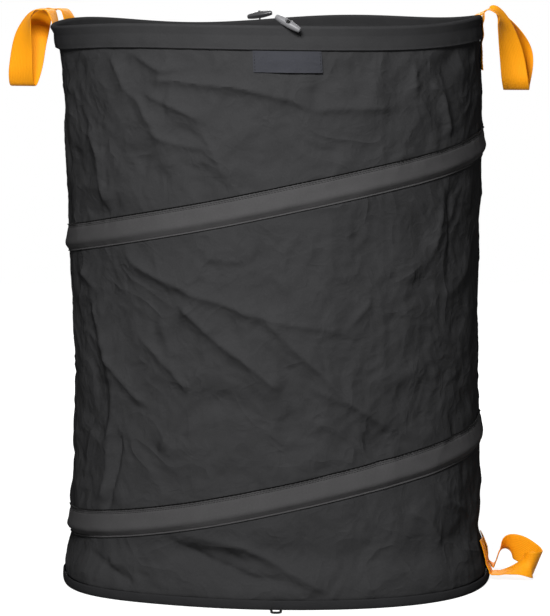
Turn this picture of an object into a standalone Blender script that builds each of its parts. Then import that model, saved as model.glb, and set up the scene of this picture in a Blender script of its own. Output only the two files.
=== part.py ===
"""Pop-up garden bag, an open cloth cylinder held up by one long coiled wire.

Lengths are in metres and +Z is up. The bag stands on the floor at Z = 0, its axis is on Z
and its front faces -Y. Azimuths are in degrees, from +X towards +Y.

A place on the bag is given as an azimuth, a height up the cloth and a stand, which is how
far it lies outside the wall's outer face.
"""

from collections import namedtuple
from math import atan2, ceil, cos, degrees, exp, log1p, pi, radians, sin

import bmesh
import bpy
import numpy as np
from mathutils import Matrix, Vector

# Bag: radii are to the wall's outer face
RIM_HEIGHT = 0.738
BASE_WALL_RADIUS = 0.275
WAIST_WALL_RADIUS = 0.267
TOP_WALL_RADIUS = 0.2825
WAIST_HEIGHT = 0.285
FLARE_POWER = 1.6
RIM_LEAN = 0.013
LEAN_POWER = 4.0

# The rim's waves: how many go round the bag, how high each rises, and where its crest is
Wave = namedtuple("Wave", "count rise crest")
RIM_WAVES = (
    Wave(count=1, rise=0.0030, crest=-8.0),
    Wave(count=2, rise=0.0020, crest=14.8),
    Wave(count=3, rise=0.0016, crest=16.6),
    Wave(count=4, rise=0.0026, crest=-22.6),
    Wave(count=5, rise=0.0017, crest=1.2),
)

# The base's soft corners: where each is, how far it stands out, and its spread in degrees
Corner = namedtuple("Corner", "azimuth reach spread")
BASE_CORNERS = (
    Corner(azimuth=-145.0, reach=0.022, spread=21.0),
    Corner(azimuth=-47.0, reach=0.029, spread=30.0),
)
# The share of a corner's reach that is left at each of the wall's rows, from the floor up
CORNER_ROW_SHARES = (1.0, 0.72, 0.40, 0.15, 0.0)

# Clearances between neighbours
GAP = 0.0003
STRAP_GAP = 0.0004
SEAM_GAP = 0.0006
SPIRAL_GAP = 0.0005

# Cloth
WALL_THICKNESS = 0.0012
BASE_THICKNESS = 0.0016
SLEEVE_THICKNESS = 0.0008
HEM_THICKNESS = 0.001
SEAM_WIDTH = 0.020
SEAM_THICKNESS = 0.0008
SEAM_AZIMUTH = 84.0

# Coiled wire
WIRE_RADIUS = 0.002
COIL_START_DROP = 0.1368
COIL_PITCH = 0.3777
COIL_NOD = 0.002
COIL_SWAY = 0.0326
COIL_TWIST = 0.0163
HOOP_BLEND = 0.008
CAP_WALL = 0.0005
CAP_LENGTH = 0.011

# Rim hem
HEM_DROP = 0.031
ROLL_RADIUS = 0.0042
HEM_SHOULDER_DROP = 0.008
WALL_TOP_DROP = 0.009
HEM_FULLNESS = 0.0014
HEM_EASE = 0.015

# Base sleeve
BASE_SLEEVE_HEIGHT = 0.018
BASE_SHOULDER_HEIGHT = 0.0085

# Spiral sleeve: how far it reaches above and below the wire
SPIRAL_ABOVE = 0.024
SPIRAL_BELOW = 0.011
SPIRAL_START_DROP = 0.002
SPIRAL_END_HEIGHT = 0.013

# Label
LABEL_WIDTH = 0.086
LABEL_HEIGHT = 0.028
LABEL_THICKNESS = 0.0008
LABEL_AZIMUTH = -85.0
LABEL_DROP = 0.0335

# Webbing straps
STRAP_WIDTH = 0.035
STRAP_THICKNESS = 0.0016
TOP_TAIL_LENGTH = 0.072
BASE_TAIL_HEIGHT = 0.052

# Toggles and their cords
TOGGLE_LENGTH = 0.036
TOGGLE_RADIUS = 0.005
TOGGLE_END_RADIUS = 0.0032
TOGGLE_SEAT_RADIUS = 0.0040
TOGGLE_SEAT_DEPTH = 0.0012
CORD_RADIUS = 0.0013
KNOT_RADIUS = 0.0032
KNOT_HEIGHT = 0.0036
CORD_STUB = 0.0012

# Elastic loops at the base
LOOP_REACH = 0.024
LOOP_SPREAD = 0.012
LOOP_CORD_RADIUS = 0.0015

# Mesh fineness: the bag's pieces share one set of azimuths
FACETS = 60
WIRE_SIDES = 8
TUBE_SIDES = 10
LOFT_STEPS = 5
TOGGLE_STEPS = 10
WALL_ROWS = 13
CUT_OVERRUN = 0.002

# The bag's pieces bend over these shares of the sizes that they follow
ROLL_TURN_SHARES = (0.0, 0.17, 0.33, 0.5, 0.67, 0.83, 1.0)
RIDGE_SIDE_SHARE = 0.8
UPPER_SKIRT_SHARE = 0.5
UPPER_SWELL_SHARE = 0.38
LOWER_SKIRT_SHARE = 0.65
LOWER_SWELL_SHARE = 0.32
ROOM_STEP_SHARES = (-0.5, -0.25, 0.0, 0.25, 0.5)
BEAD_THICKNESS_SHARES = ((0.47, 0.35), (0.25, 0.86))
CORD_END_SHARES = ((1.0, 0.35), (0.6, 0.8))

# The share of a loop's reach at which its middle starts to go to one side
SKEW_START_SHARE = 0.16
# Half of a hanging loop, as shares: of its reach, of its travel, of the strands' spacing, and of
# the quarter turn by which the strap lies edge on
HANGING_STATION_SHARES = (
    (0.0, 0.0, 1.0, 0.0),
    (0.14, 0.01, 1.0, 0.04),
    (0.36, 0.10, 1.0, 0.16),
    (0.62, 0.34, 1.0, 0.38),
    (0.83, 0.62, 1.0, 0.68),
    (0.94, 0.87, 0.86, 0.92),
    (0.99, 0.975, 0.45, 1.0),
    (1.0, 1.0, 0.0, 1.0),
)
# The same for the loop that lies out from the base
LYING_STATION_SHARES = (
    (0.0, 0.0, 1.0, 0.0),
    (0.13, 0.0, 1.02, 0.06),
    (0.34, 0.30, 1.04, 0.28),
    (0.62, 0.75, 1.0, 0.6),
    (0.86, 0.97, 0.8, 0.9),
    (0.97, 1.0, 0.42, 1.0),
    (1.0, 1.0, 0.0, 1.0),
)

# Handles, whose free loops hang from the rim or lie out from the base. The root is the fold that a
# loop turns about. From there the loop reaches out and goes down or up by its travel, later with a
# larger hang power. Its middle lies to one side by its skew, and one strand is lifted or bulges out
Handle = namedtuple(
    "Handle",
    "name azimuth yaw base_height root_stand root_rise half_spacing half_bight reach travel up_way "
    "hang_power skew skew_way lift bulge",
)
LEFT_HANDLE = Handle(
    name="left",
    azimuth=164.0,
    yaw=0.0,
    base_height=RIM_HEIGHT,
    root_stand=0.011,
    root_rise=0.012,
    half_spacing=0.029,
    half_bight=0.020,
    reach=0.044,
    travel=0.104,
    up_way=-1,
    hang_power=2.0,
    skew=0.0,
    skew_way=1,
    lift=0.0,
    bulge=0.0,
)
RIGHT_HANDLE = Handle(
    name="right",
    azimuth=5.0,
    yaw=-10.0,
    base_height=RIM_HEIGHT,
    root_stand=0.017,
    root_rise=0.0125,
    half_spacing=0.028,
    half_bight=0.020,
    reach=0.036,
    travel=0.110,
    up_way=-1,
    hang_power=1.0,
    skew=0.036,
    skew_way=1,
    lift=0.0,
    bulge=0.016,
)
BOTTOM_HANDLE = Handle(
    name="bottom",
    azimuth=-7.0,
    yaw=0.0,
    base_height=0.0,
    root_stand=0.0165,
    root_rise=0.0075,
    half_spacing=0.029,
    half_bight=0.022,
    reach=0.062,
    travel=0.0155,
    up_way=1,
    hang_power=1.0,
    skew=0.016,
    skew_way=-1,
    lift=0.003,
    bulge=0.0,
)

# Colours from the picture
CLOTH = (0.020, 0.020, 0.021)
BAND = (0.026, 0.025, 0.026)
LINING = (0.024, 0.025, 0.027)
WEBBING = (0.93, 0.36, 0.010)
STEEL = (0.30, 0.30, 0.31)
LABEL_GREY = (0.045, 0.048, 0.055)
TOGGLE_GREY = (0.19, 0.19, 0.19)
TOGGLE_BLACK = (0.030, 0.030, 0.032)
CORD_BLACK = (0.012, 0.012, 0.012)

# Toggles: where each is held, how its cord points and its bar leans, and where its loop is
Toggle = namedtuple("Toggle", "name azimuth cord_pitch bar_lean loop_azimuth colour")
FRONT_TOGGLE = Toggle(
    name="front",
    azimuth=-84.6,
    cord_pitch=36.0,
    bar_lean=-36.0,
    loop_azimuth=-90.0,
    colour=TOGGLE_GREY,
)
REAR_TOGGLE = Toggle(
    name="rear",
    azimuth=92.0,
    cord_pitch=60.0,
    bar_lean=-20.0,
    loop_azimuth=90.0,
    colour=TOGGLE_BLACK,
)

# Derived from the sizes above
RIDGE_INSIDE = 2 * GAP + CAP_WALL
WIRE_STAND = RIDGE_INSIDE + GAP + WIRE_RADIUS
RIDGE_STAND = WIRE_STAND + WIRE_RADIUS + GAP + SLEEVE_THICKNESS / 2
BASE_RIDGE_STAND = RIDGE_STAND + CAP_WALL + GAP
TOP_HOOP_HEIGHT = RIM_HEIGHT - ROLL_RADIUS
BASE_HOOP_HEIGHT = BASE_THICKNESS + 2 * GAP + CAP_WALL + WIRE_RADIUS + GAP
HEM_EDGE_HEIGHT = RIM_HEIGHT - HEM_DROP
SHOULDER_HEIGHT = TOP_HOOP_HEIGHT - HEM_SHOULDER_DROP
WALL_FOOT_HEIGHT = BASE_THICKNESS + GAP
WALL_TOP_HEIGHT = TOP_HOOP_HEIGHT - WALL_TOP_DROP
WALL_ROW_HEIGHT = (WALL_TOP_HEIGHT - WALL_FOOT_HEIGHT) / (WALL_ROWS - 1)
STEP = 360 / FACETS


def clear_scene():
    for old in list(bpy.data.objects):
        bpy.data.objects.remove(old, do_unlink=True)


def material(name, colour, roughness, metallic=0.0):
    made = bpy.data.materials.new(name)
    made.use_nodes = True
    shader = made.node_tree.nodes["Principled BSDF"]
    shader.inputs["Base Color"].default_value = (*colour, 1.0)
    shader.inputs["Roughness"].default_value = roughness
    shader.inputs["Metallic"].default_value = metallic
    return made


def mesh_object(name, points, faces, surface, smooth=True):
    """A closed mesh with outward faces, as an object with its own material."""
    mesh = bpy.data.meshes.new(name)
    mesh.from_pydata([tuple(p) for p in points], [], faces)
    tidy = bmesh.new()
    tidy.from_mesh(mesh)
    bmesh.ops.recalc_face_normals(tidy, faces=tidy.faces)
    tidy.to_mesh(mesh)
    tidy.free()
    for face in mesh.polygons:
        face.use_smooth = smooth
    made = bpy.data.objects.new(name, mesh)
    bpy.context.collection.objects.link(made)
    mesh.materials.append(surface)
    return made


def loft(name, rings, surface, around=False, smooth=True):
    """Joins rings of as many points each. Around joins the last to the first, or else both are capped."""
    size = len(rings[0])
    points = [p for ring in rings for p in ring]
    faces = []
    for k in range(len(rings) if around else len(rings) - 1):
        this, following = k * size, (k + 1) % len(rings) * size
        for n in range(size):
            after = (n + 1) % size
            faces.append((this + n, this + after, following + after, following + n))
    if not around:
        last = (len(rings) - 1) * size
        faces.append(tuple(range(size))[::-1])
        faces.append(tuple(range(last, last + size)))
    return mesh_object(name, points, faces, surface, smooth)


def smooth_step(share):
    share = min(max(share, 0.0), 1.0)
    return share * share * (3 - 2 * share)


# The bag's shape


def wall_radius(height):
    if height < WAIST_HEIGHT:
        share = 1 - height / WAIST_HEIGHT
        return WAIST_WALL_RADIUS + (BASE_WALL_RADIUS - WAIST_WALL_RADIUS) * share**2
    share = (height - WAIST_HEIGHT) / (RIM_HEIGHT - WAIST_HEIGHT)
    return WAIST_WALL_RADIUS + (TOP_WALL_RADIUS - WAIST_WALL_RADIUS) * share**FLARE_POWER


def lean(height):
    return RIM_LEAN * max(height / RIM_HEIGHT, 0.0) ** LEAN_POWER


def rim_rise(azimuth):
    """How far the soft rim lies above its mean height."""
    return sum(w.rise * cos(w.count * radians(azimuth - w.crest)) for w in RIM_WAVES)


def corner_reach(azimuth, height):
    """How far the base's soft corners stand out. It changes evenly between the wall's rows."""
    reach = 0.0
    for corner in BASE_CORNERS:
        away = (azimuth - corner.azimuth + 180) % 360 - 180
        reach += corner.reach * exp(-((away / corner.spread) ** 2))
    row = (height - WALL_FOOT_HEIGHT) / WALL_ROW_HEIGHT
    return reach * float(np.interp(row, range(len(CORNER_ROW_SHARES)), CORNER_ROW_SHARES))


def on_bag(azimuth, height, stand):
    turn = radians(azimuth)
    radius = wall_radius(height) + corner_reach(azimuth, height) + stand
    rise = height + rim_rise(azimuth) * height / RIM_HEIGHT
    return Vector((radius * cos(turn) - lean(height), radius * sin(turn), rise))


def azimuth_of(place, height):
    """The azimuth of a place near the bag at a height up the cloth."""
    return degrees(atan2(place.y, place.x + lean(height)))


def across(azimuth):
    """The level direction along the cloth, towards growing azimuths."""
    turn = radians(azimuth)
    return Vector((-sin(turn), cos(turn), 0))


def along_cloth(azimuth, height):
    """The level direction that follows the cloth at a height, towards growing azimuths."""
    way = on_bag(azimuth + STEP / 2, height, 0) - on_bag(azimuth - STEP / 2, height, 0)
    way.z = 0
    return way.normalized()


def outward(azimuth):
    turn = radians(azimuth)
    return Vector((cos(turn), sin(turn), 0))


def ring_azimuths():
    return [STEP * k for k in range(FACETS)]


def thick_line(points, thickness):
    """The closed outline of a sheet that follows a line of (stand, height) points."""
    line = [np.array(p, float) for p in points]
    normals = []
    for before, after in zip(line, line[1:]):
        way = (after - before) / np.linalg.norm(after - before)
        normals.append(np.array((-way[1], way[0])))
    sides = []
    for k in range(len(line)):
        first, second = normals[max(k - 1, 0)], normals[min(k, len(normals) - 1)]
        middle = (first + second) / np.linalg.norm(first + second)
        sides.append(middle * thickness / 2 / max(middle @ first, 0.5))
    one = [tuple(p + s) for p, s in zip(line, sides)]
    other = [tuple(p - s) for p, s in zip(line, sides)]
    return one + other[::-1]


def swept_round(name, outline_at, surface, azimuths=None):
    """Sweeps an outline of (stand, height) points round the bag, or over some azimuths only."""
    rings = [
        [on_bag(a, height, stand) for stand, height in outline_at(a)]
        for a in azimuths or ring_azimuths()
    ]
    return loft(name, rings, surface, around=azimuths is None)


# The wire's route: turns run from right to front to left to back while the wire comes down


def coil_height(turn):
    """The bare coil, without the level hoops at its ends."""
    level = RIM_HEIGHT - COIL_START_DROP - COIL_PITCH * turn / 360
    swing = COIL_NOD * sin(radians(turn)) - COIL_SWAY * cos(radians(turn))
    return level + swing + COIL_TWIST * sin(2 * radians(turn))


def crossing(level):
    """The turn, on the shared azimuths, where the bare coil comes down to a level."""
    turn = -180.0
    while coil_height(turn) > level:
        turn += STEP
    return turn


TOP_CROSSING = crossing(TOP_HOOP_HEIGHT)
BASE_CROSSING = crossing(BASE_HOOP_HEIGHT) - STEP
COIL_FIRST = TOP_CROSSING - 360
COIL_LAST = BASE_CROSSING + 360


def wire_height(turn):
    if turn < TOP_CROSSING - 180:
        return TOP_HOOP_HEIGHT
    if turn > BASE_CROSSING + 180:
        return BASE_HOOP_HEIGHT
    drop = HOOP_BLEND * log1p(exp((TOP_HOOP_HEIGHT - coil_height(turn)) / HOOP_BLEND))
    height = TOP_HOOP_HEIGHT - drop
    return BASE_HOOP_HEIGHT + HOOP_BLEND * log1p(exp((height - BASE_HOOP_HEIGHT) / HOOP_BLEND))


def wire_stand(turn):
    """The top hoop lies over the wall's edge, and the coil outside the wall."""
    share = smooth_step((TOP_HOOP_HEIGHT - wire_height(turn)) / HEM_SHOULDER_DROP)
    over_edge = -WALL_THICKNESS / 2
    return over_edge + (WIRE_STAND - over_edge) * share


def wire_turns():
    return [COIL_FIRST + STEP * k for k in range(round((COIL_LAST - COIL_FIRST) / STEP) + 1)]


def wire_ring(turn, radius):
    """A ring of points round the wire. Between the shared azimuths it follows the straight facet."""
    before = min(max((turn - COIL_FIRST) // STEP, 0), len(wire_turns()) - 2)
    stations = [COIL_FIRST + STEP * (before + k) for k in (0, 1)]
    share = (turn - stations[0]) / STEP
    rings = []
    for t in stations:
        ring = []
        for k in range(WIRE_SIDES):
            spin = 2 * pi * (k + 0.5) / WIRE_SIDES
            height, stand = wire_height(t) + radius * sin(spin), wire_stand(t) + radius * cos(spin)
            ring.append(on_bag(-t, height, stand))
        rings.append(ring)
    return [a.lerp(b, share) for a, b in zip(*rings)]


def turns_at(azimuth):
    """Every turn of the wire that passes an azimuth."""
    first = COIL_FIRST + (-azimuth - COIL_FIRST) % 360
    return [first + 360 * k for k in range(ceil((COIL_LAST - first) / 360) + 1)]


# The spiral sleeve's outline over the wire


def spiral_line(above, below):
    """From the sleeve's upper edge over the ridge to its lower edge, cut off at above and below."""
    flat = SPIRAL_GAP + SLEEVE_THICKNESS / 2
    side = WIRE_RADIUS + GAP + SLEEVE_THICKNESS
    swell = RIDGE_STAND - flat
    whole = [
        (flat, SPIRAL_ABOVE),
        (flat + swell * UPPER_SWELL_SHARE, SPIRAL_ABOVE * UPPER_SKIRT_SHARE),
        (flat + swell * RIDGE_SIDE_SHARE, side),
        (RIDGE_STAND, 0),
        (flat + swell * RIDGE_SIDE_SHARE, -side),
        (flat + swell * LOWER_SWELL_SHARE, -side - (SPIRAL_BELOW - side) * LOWER_SKIRT_SHARE),
        (flat, -SPIRAL_BELOW),
    ]
    top = min(above, SPIRAL_ABOVE)
    bottom = -min(below, SPIRAL_BELOW)
    return [cut_back(whole, rise, side, top, bottom) for _, rise in whole]


def cut_back(whole, rise, side, top, bottom):
    """A point of the line. The points of a skirt that is cut off close up evenly towards the ridge."""
    if rise > side:
        rise = side + (top - side) * (rise - side) / (SPIRAL_ABOVE - side)
    elif rise < -side:
        rise = -side + (bottom + side) * (rise + side) / (side - SPIRAL_BELOW)
    rises = [r for _, r in whole][::-1]
    stands = [s for s, _ in whole][::-1]
    return float(np.interp(rise, rises, stands)), rise


def spiral_room(rise):
    """How far the spiral sleeve stands out at a rise above the wire, with the clearance over it."""
    line = spiral_line(SPIRAL_ABOVE, SPIRAL_BELOW)[::-1]
    if not -SPIRAL_BELOW - GAP < rise < SPIRAL_ABOVE + GAP:
        return 0.0
    stand = float(np.interp(rise, [r for _, r in line], [s for s, _ in line]))
    return stand + SLEEVE_THICKNESS / 2 + GAP


def room_over_wire(azimuth, height, above, below):
    """How far a hem must stand out at a height, so that it clears the wire on both sides of an azimuth."""
    near = [azimuth + STEP * share for share in ROOM_STEP_SHARES]
    return max(room_at(a, height, above, below) for a in near)


def room_at(azimuth, height, above, below):
    """How far the wire and its sleeve stand out at a height, with the clearance over them.

    Above and below are how far from the wire a hem still stands out. None follows its sleeve.
    """
    most = 0.0
    full = RIDGE_STAND + SLEEVE_THICKNESS / 2 + GAP
    for turn in turns_at(azimuth):
        rise = height - wire_height(turn)
        reach = below if rise >= 0 else above
        room = spiral_room(rise) if reach is None else full * smooth_step(1 - abs(rise) / reach)
        most = max(most, room)
    return most


# Cloth pieces


def wall_outline(azimuth):
    heights = [WALL_FOOT_HEIGHT + WALL_ROW_HEIGHT * k for k in range(WALL_ROWS)]
    return [(0, h) for h in heights] + [(-WALL_THICKNESS, h) for h in heights[::-1]]


def build_wall(surface):
    return swept_round("wall_panel", wall_outline, surface)


def build_wall_seam(surface):
    """The strip inside the back where the wall panel's ends are joined."""
    foot = BASE_THICKNESS + SEAM_GAP
    top = HEM_EDGE_HEIGHT - SEAM_GAP
    heights = [foot + (top - foot) * k / (WALL_ROWS - 1) for k in range(WALL_ROWS)]
    outer = -WALL_THICKNESS - SEAM_GAP
    outline = [(outer, h) for h in heights] + [(outer - SEAM_THICKNESS, h) for h in heights[::-1]]
    half = degrees(SEAM_WIDTH / 2 / WAIST_WALL_RADIUS)
    azimuths = [SEAM_AZIMUTH - half, SEAM_AZIMUTH, SEAM_AZIMUTH + half]
    return swept_round("wall_seam", lambda a: outline, surface, azimuths)


def build_base_panel(surface):
    """A flat disc whose edge lies under the base hoop, inside the base sleeve."""
    stand = BASE_RIDGE_STAND - SLEEVE_THICKNESS / 2 - GAP
    rings = [
        [on_bag(a, 0, stand) + Vector((0, 0, height)) for a in ring_azimuths()]
        for height in (0, BASE_THICKNESS)
    ]
    return loft("base_panel", rings, surface, smooth=False)


def base_sleeve_outline(azimuth):
    flat = GAP + SLEEVE_THICKNESS / 2
    # The wire passes under the sleeve's top edge from above, and lies lower from there on
    room = room_over_wire(azimuth, BASE_SLEEVE_HEIGHT, None, BASE_SLEEVE_HEIGHT - BASE_HOOP_HEIGHT)
    edge = max(flat, room + SLEEVE_THICKNESS / 2)
    line = [
        (edge, BASE_SLEEVE_HEIGHT),
        (max(BASE_RIDGE_STAND, edge), BASE_SHOULDER_HEIGHT),
        (max(BASE_RIDGE_STAND, edge) + GAP, BASE_HOOP_HEIGHT),
        (BASE_RIDGE_STAND, 0),
    ]
    return thick_line(line, SLEEVE_THICKNESS)


def build_base_sleeve(surface):
    return swept_round("base_sleeve", base_sleeve_outline, surface)


def hem_outline(azimuth):
    """An inverted U: an outer leaf, a roll round the top hoop, and an inner leaf."""
    half = HEM_THICKNESS / 2
    flat = GAP + half
    inside = -WALL_THICKNESS - GAP - half
    middle = -WALL_THICKNESS / 2
    bend = ROLL_RADIUS - half
    edge_room = room_over_wire(azimuth, HEM_EDGE_HEIGHT, HEM_DROP - 2 * ROLL_RADIUS, None)
    shoulder_room = room_over_wire(azimuth, SHOULDER_HEIGHT, HEM_SHOULDER_DROP, 2 * HEM_EASE)
    line = [
        (max(flat, edge_room + half), HEM_EDGE_HEIGHT),
        (max(flat + HEM_FULLNESS, shoulder_room + half), SHOULDER_HEIGHT),
    ]
    for share in ROLL_TURN_SHARES:
        line.append((middle + bend * cos(pi * share), TOP_HOOP_HEIGHT + bend * sin(pi * share)))
    line.append((inside, SHOULDER_HEIGHT))
    line.append((inside, HEM_EDGE_HEIGHT))
    return thick_line(line, HEM_THICKNESS)


def build_rim_sleeve(surface):
    return swept_round("rim_sleeve", hem_outline, surface)


def spiral_outline(turn):
    wire = wire_height(turn)
    above = WALL_TOP_HEIGHT - wire
    below = wire - BASE_SHOULDER_HEIGHT
    line = thick_line(spiral_line(above, below), SLEEVE_THICKNESS)
    return [(stand, wire + rise) for stand, rise in line]


def build_spiral_sleeve(surface):
    """The stitched band that carries the wire down round the bag."""
    turns = [
        t for t in wire_turns()
        if SPIRAL_END_HEIGHT < wire_height(t) < HEM_EDGE_HEIGHT + SPIRAL_START_DROP
    ]
    rings = [[on_bag(-t, height, stand) for stand, height in spiral_outline(t)] for t in turns]
    return loft("spiral_sleeve", rings, surface)


def build_label(surface):
    """The label sewn under the hem, bare."""
    half = degrees(LABEL_WIDTH / 2 / wall_radius(RIM_HEIGHT - LABEL_DROP))
    azimuths = [LABEL_AZIMUTH + half * k / LOFT_STEPS for k in range(-LOFT_STEPS, LOFT_STEPS + 1)]
    top = RIM_HEIGHT - LABEL_DROP
    middle = STRAP_GAP + LABEL_THICKNESS / 2
    outline = thick_line([(middle, top), (middle, top - LABEL_HEIGHT)], LABEL_THICKNESS)
    return swept_round("label", lambda a: outline, surface, azimuths)


# Wire


def wire_self_gap():
    """The least gap between turns of the wire, from points along its centre line."""
    turns = wire_turns()
    centres = np.array([on_bag(-t, wire_height(t), wire_stand(t)) for t in turns])
    least = float("inf")
    for k in range(len(turns) - FACETS // 2):
        apart = np.linalg.norm(centres[k + FACETS // 2:] - centres[k], axis=1).min()
        least = min(least, apart - 2 * WIRE_RADIUS)
    return least


def build_coil(surface):
    rings = [wire_ring(t, WIRE_RADIUS) for t in wire_turns()]
    made = loft("coil_spring", rings, surface)
    print("coil_spring least gap to itself, mm:", round(1000 * wire_self_gap(), 2))
    return made


def build_end_cap(name, end, inward, surface):
    """A cup over one end of the wire. Inward is 1 or -1, the way along the wire from that end."""
    bore = WIRE_RADIUS + GAP
    outside = bore + CAP_WALL
    per_length = inward * 180 / (pi * WAIST_WALL_RADIUS)
    bottom = end - GAP * per_length
    back = bottom - CAP_WALL * per_length
    mouth = end + CAP_LENGTH * per_length
    stations = ((bottom, bore), (mouth, bore), (mouth, outside), (back, outside))
    return loft(name, [wire_ring(turn, radius) for turn, radius in stations], surface)


# Straps


def strap(name, stations, surface, square=(0, -1), beads=False):
    """A flat strap through stations of (place, width direction). Beads round off both ends.

    The square stations are cut square to their width, which is the line that a loop turns about.
    """
    places = [Vector(p) for p, _ in stations]
    ways = []
    for k in range(len(places)):
        ahead, behind = places[min(k + 1, len(places) - 1)], places[max(k - 1, 0)]
        ways.append((ahead - behind).normalized())
    thicknesses = [STRAP_THICKNESS] * len(places)
    widths = [w for _, w in stations]
    for k in square:
        ways[k] = (ways[k] - widths[k] * ways[k].dot(widths[k])).normalized()
    if beads:
        places, ways, widths, thicknesses = add_beads(places, ways, widths, thicknesses)
    rings = []
    for place, way, width, thickness in zip(places, ways, widths, thicknesses):
        side = (width - way * width.dot(way)).normalized() * STRAP_WIDTH / 2
        face = way.cross(side).normalized() * thickness / 2
        corners = (side + face, face - side, -side - face, side - face)
        rings.append([place + corner for corner in corners])
    return loft(name, rings, surface)


def add_beads(places, ways, widths, thicknesses):
    """Rounds each end about its own last place, so that the strap can turn there."""
    reaches = [STRAP_THICKNESS * share for share, _ in BEAD_THICKNESS_SHARES]
    start_thicknesses = [STRAP_THICKNESS * share for _, share in BEAD_THICKNESS_SHARES]
    start_places = [places[0] - ways[0] * reach for reach in reaches]
    end_places = [places[-1] + ways[-1] * reach for reach in reaches[::-1]]
    count = len(BEAD_THICKNESS_SHARES)
    return (
        start_places + places + end_places,
        [ways[0]] * count + ways + [ways[-1]] * count,
        [widths[0]] * count + widths + [widths[-1]] * count,
        start_thicknesses + thicknesses + start_thicknesses[::-1],
    )


def smooth_rows(rows, steps):
    """A smooth curve through rows of numbers, with some steps from each to the next."""
    rows = [np.array(r, float) for r in rows]
    padded = [2 * rows[0] - rows[1]] + rows + [2 * rows[-1] - rows[-2]]
    out = []
    for k in range(1, len(padded) - 2):
        a, b, c, d = padded[k - 1:k + 3]
        for n in range(steps):
            s = n / steps
            out.append(0.5 * (2 * b + (c - a) * s + (2 * a - 5 * b + 4 * c - d) * s**2
                              + (3 * b - a - 3 * c + d) * s**3))
    return out + [rows[-1]]


def handle_axes(handle):
    """The handle's out and along directions, turned by its yaw."""
    return outward(handle.azimuth + handle.yaw), across(handle.azimuth + handle.yaw)


def handle_root(handle):
    """The middle of the fold that the handle turns about."""
    held = on_bag(handle.azimuth, handle.base_height, handle.root_stand)
    return held + Vector((0, 0, handle.root_rise))


def handle_stations(handle):
    """Stations of the whole loop: out, up and along its own axes, and how far its width has turned."""
    shares = LYING_STATION_SHARES if handle is BOTTOM_HANDLE else HANGING_STATION_SHARES
    first = []
    for out, on, spacing, turned in shares:
        near = handle.half_bight + (handle.half_spacing - handle.half_bight) * (1 - turned)
        rise = handle.up_way * handle.travel * on**handle.hang_power
        first.append((handle.reach * out, rise, -near * spacing, turned))
    second = [(out, up, -near, 2 - turned) for out, up, near, turned in first[-2::-1]]
    return smooth_rows(first + second, LOFT_STEPS)


def build_handle(handle, surface):
    out, along = handle_axes(handle)
    up = Vector((0, 0, 1))
    spread = up if handle is BOTTOM_HANDLE else out
    root = handle_root(handle)
    stations = []
    for reach, rise, near, turned in handle_stations(handle):
        share = reach / handle.reach
        skewed = smooth_step((share - SKEW_START_SHARE) / (1 - SKEW_START_SHARE))
        shift = handle.skew_way * handle.skew * skewed
        lift = handle.lift * near / handle.half_spacing * sin(pi * min(share, 1))
        fallen = min(abs(rise) / handle.travel, 1)
        bulge = handle.bulge * max(near, 0) / handle.half_spacing * sin(pi * fallen)
        place = root + out * (reach + bulge) + up * (rise + lift) + along * (near + shift)
        angle = pi / 2 * turned
        stations.append((place, along * cos(angle) + spread * sin(angle)))
    return strap(handle.name + "_handle", stations, surface, beads=True)


def top_tail_line():
    """A top tail, from its lower end up over the hem to the top of the roll."""
    flat = STRAP_GAP + STRAP_THICKNESS / 2
    over_hem = GAP + HEM_THICKNESS + flat
    over_roll = ROLL_RADIUS - WALL_THICKNESS / 2 + flat
    under_hem = HEM_EDGE_HEIGHT - flat
    return [
        (flat, RIM_HEIGHT - TOP_TAIL_LENGTH),
        (flat, under_hem - flat),
        (over_hem, HEM_EDGE_HEIGHT + flat),
        (over_hem + HEM_FULLNESS, SHOULDER_HEIGHT),
        (over_roll, TOP_HOOP_HEIGHT - flat),
        (over_roll, RIM_HEIGHT),
    ]


def bottom_tail_line():
    """A bottom tail, from its upper end down over the base sleeve."""
    flat = STRAP_GAP + STRAP_THICKNESS / 2
    over_sleeve = BASE_RIDGE_STAND + GAP + SLEEVE_THICKNESS / 2 + flat
    return [
        (flat, BASE_TAIL_HEIGHT),
        (flat, BASE_SLEEVE_HEIGHT + 2 * flat),
        (over_sleeve, BASE_SHOULDER_HEIGHT + 2 * flat),
    ]


def build_tail(handle, letter, side, surface):
    """One sewn end of a handle, up to the fold. Side is -1 or 1, along the cloth from the middle."""
    out, along = handle_axes(handle)
    fold = handle_root(handle) + along * side * handle.half_spacing
    rise = 0 if handle is BOTTOM_HANDLE else handle.root_rise / handle.root_stand
    arrive = (out + Vector((0, 0, rise))).normalized()
    end = fold - arrive * (STRAP_THICKNESS / 2 + GAP)
    before = end - arrive * STRAP_THICKNESS * 2
    azimuth = azimuth_of(fold, handle.base_height)
    line = bottom_tail_line() if handle is BOTTOM_HANDLE else top_tail_line()
    stations = [
        (on_bag(azimuth, height, stand), along_cloth(azimuth, height)) for stand, height in line
    ]
    stations += [(before, along), (end, along)]
    return strap(f"{handle.name}_tail_{letter}", stations, surface, square=(0, -2, -1))


# Toggles


def toggle_frame(toggle):
    """Where a toggle's cord is held, with the cord's way out and the bar's way."""
    rim = on_bag(toggle.azimuth, TOP_HOOP_HEIGHT, -WALL_THICKNESS / 2)
    pitch = radians(toggle.cord_pitch)
    way = outward(toggle.azimuth) * cos(pitch) + Vector((0, 0, sin(pitch)))
    bar = Matrix.Rotation(radians(toggle.bar_lean), 3, way) @ across(toggle.azimuth)
    return rim + way * (ROLL_RADIUS + GAP + CORD_RADIUS), way, bar


def toggle_centre(toggle):
    held, way, _ = toggle_frame(toggle)
    return held + way * (CORD_STUB + TOGGLE_RADIUS)


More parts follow.
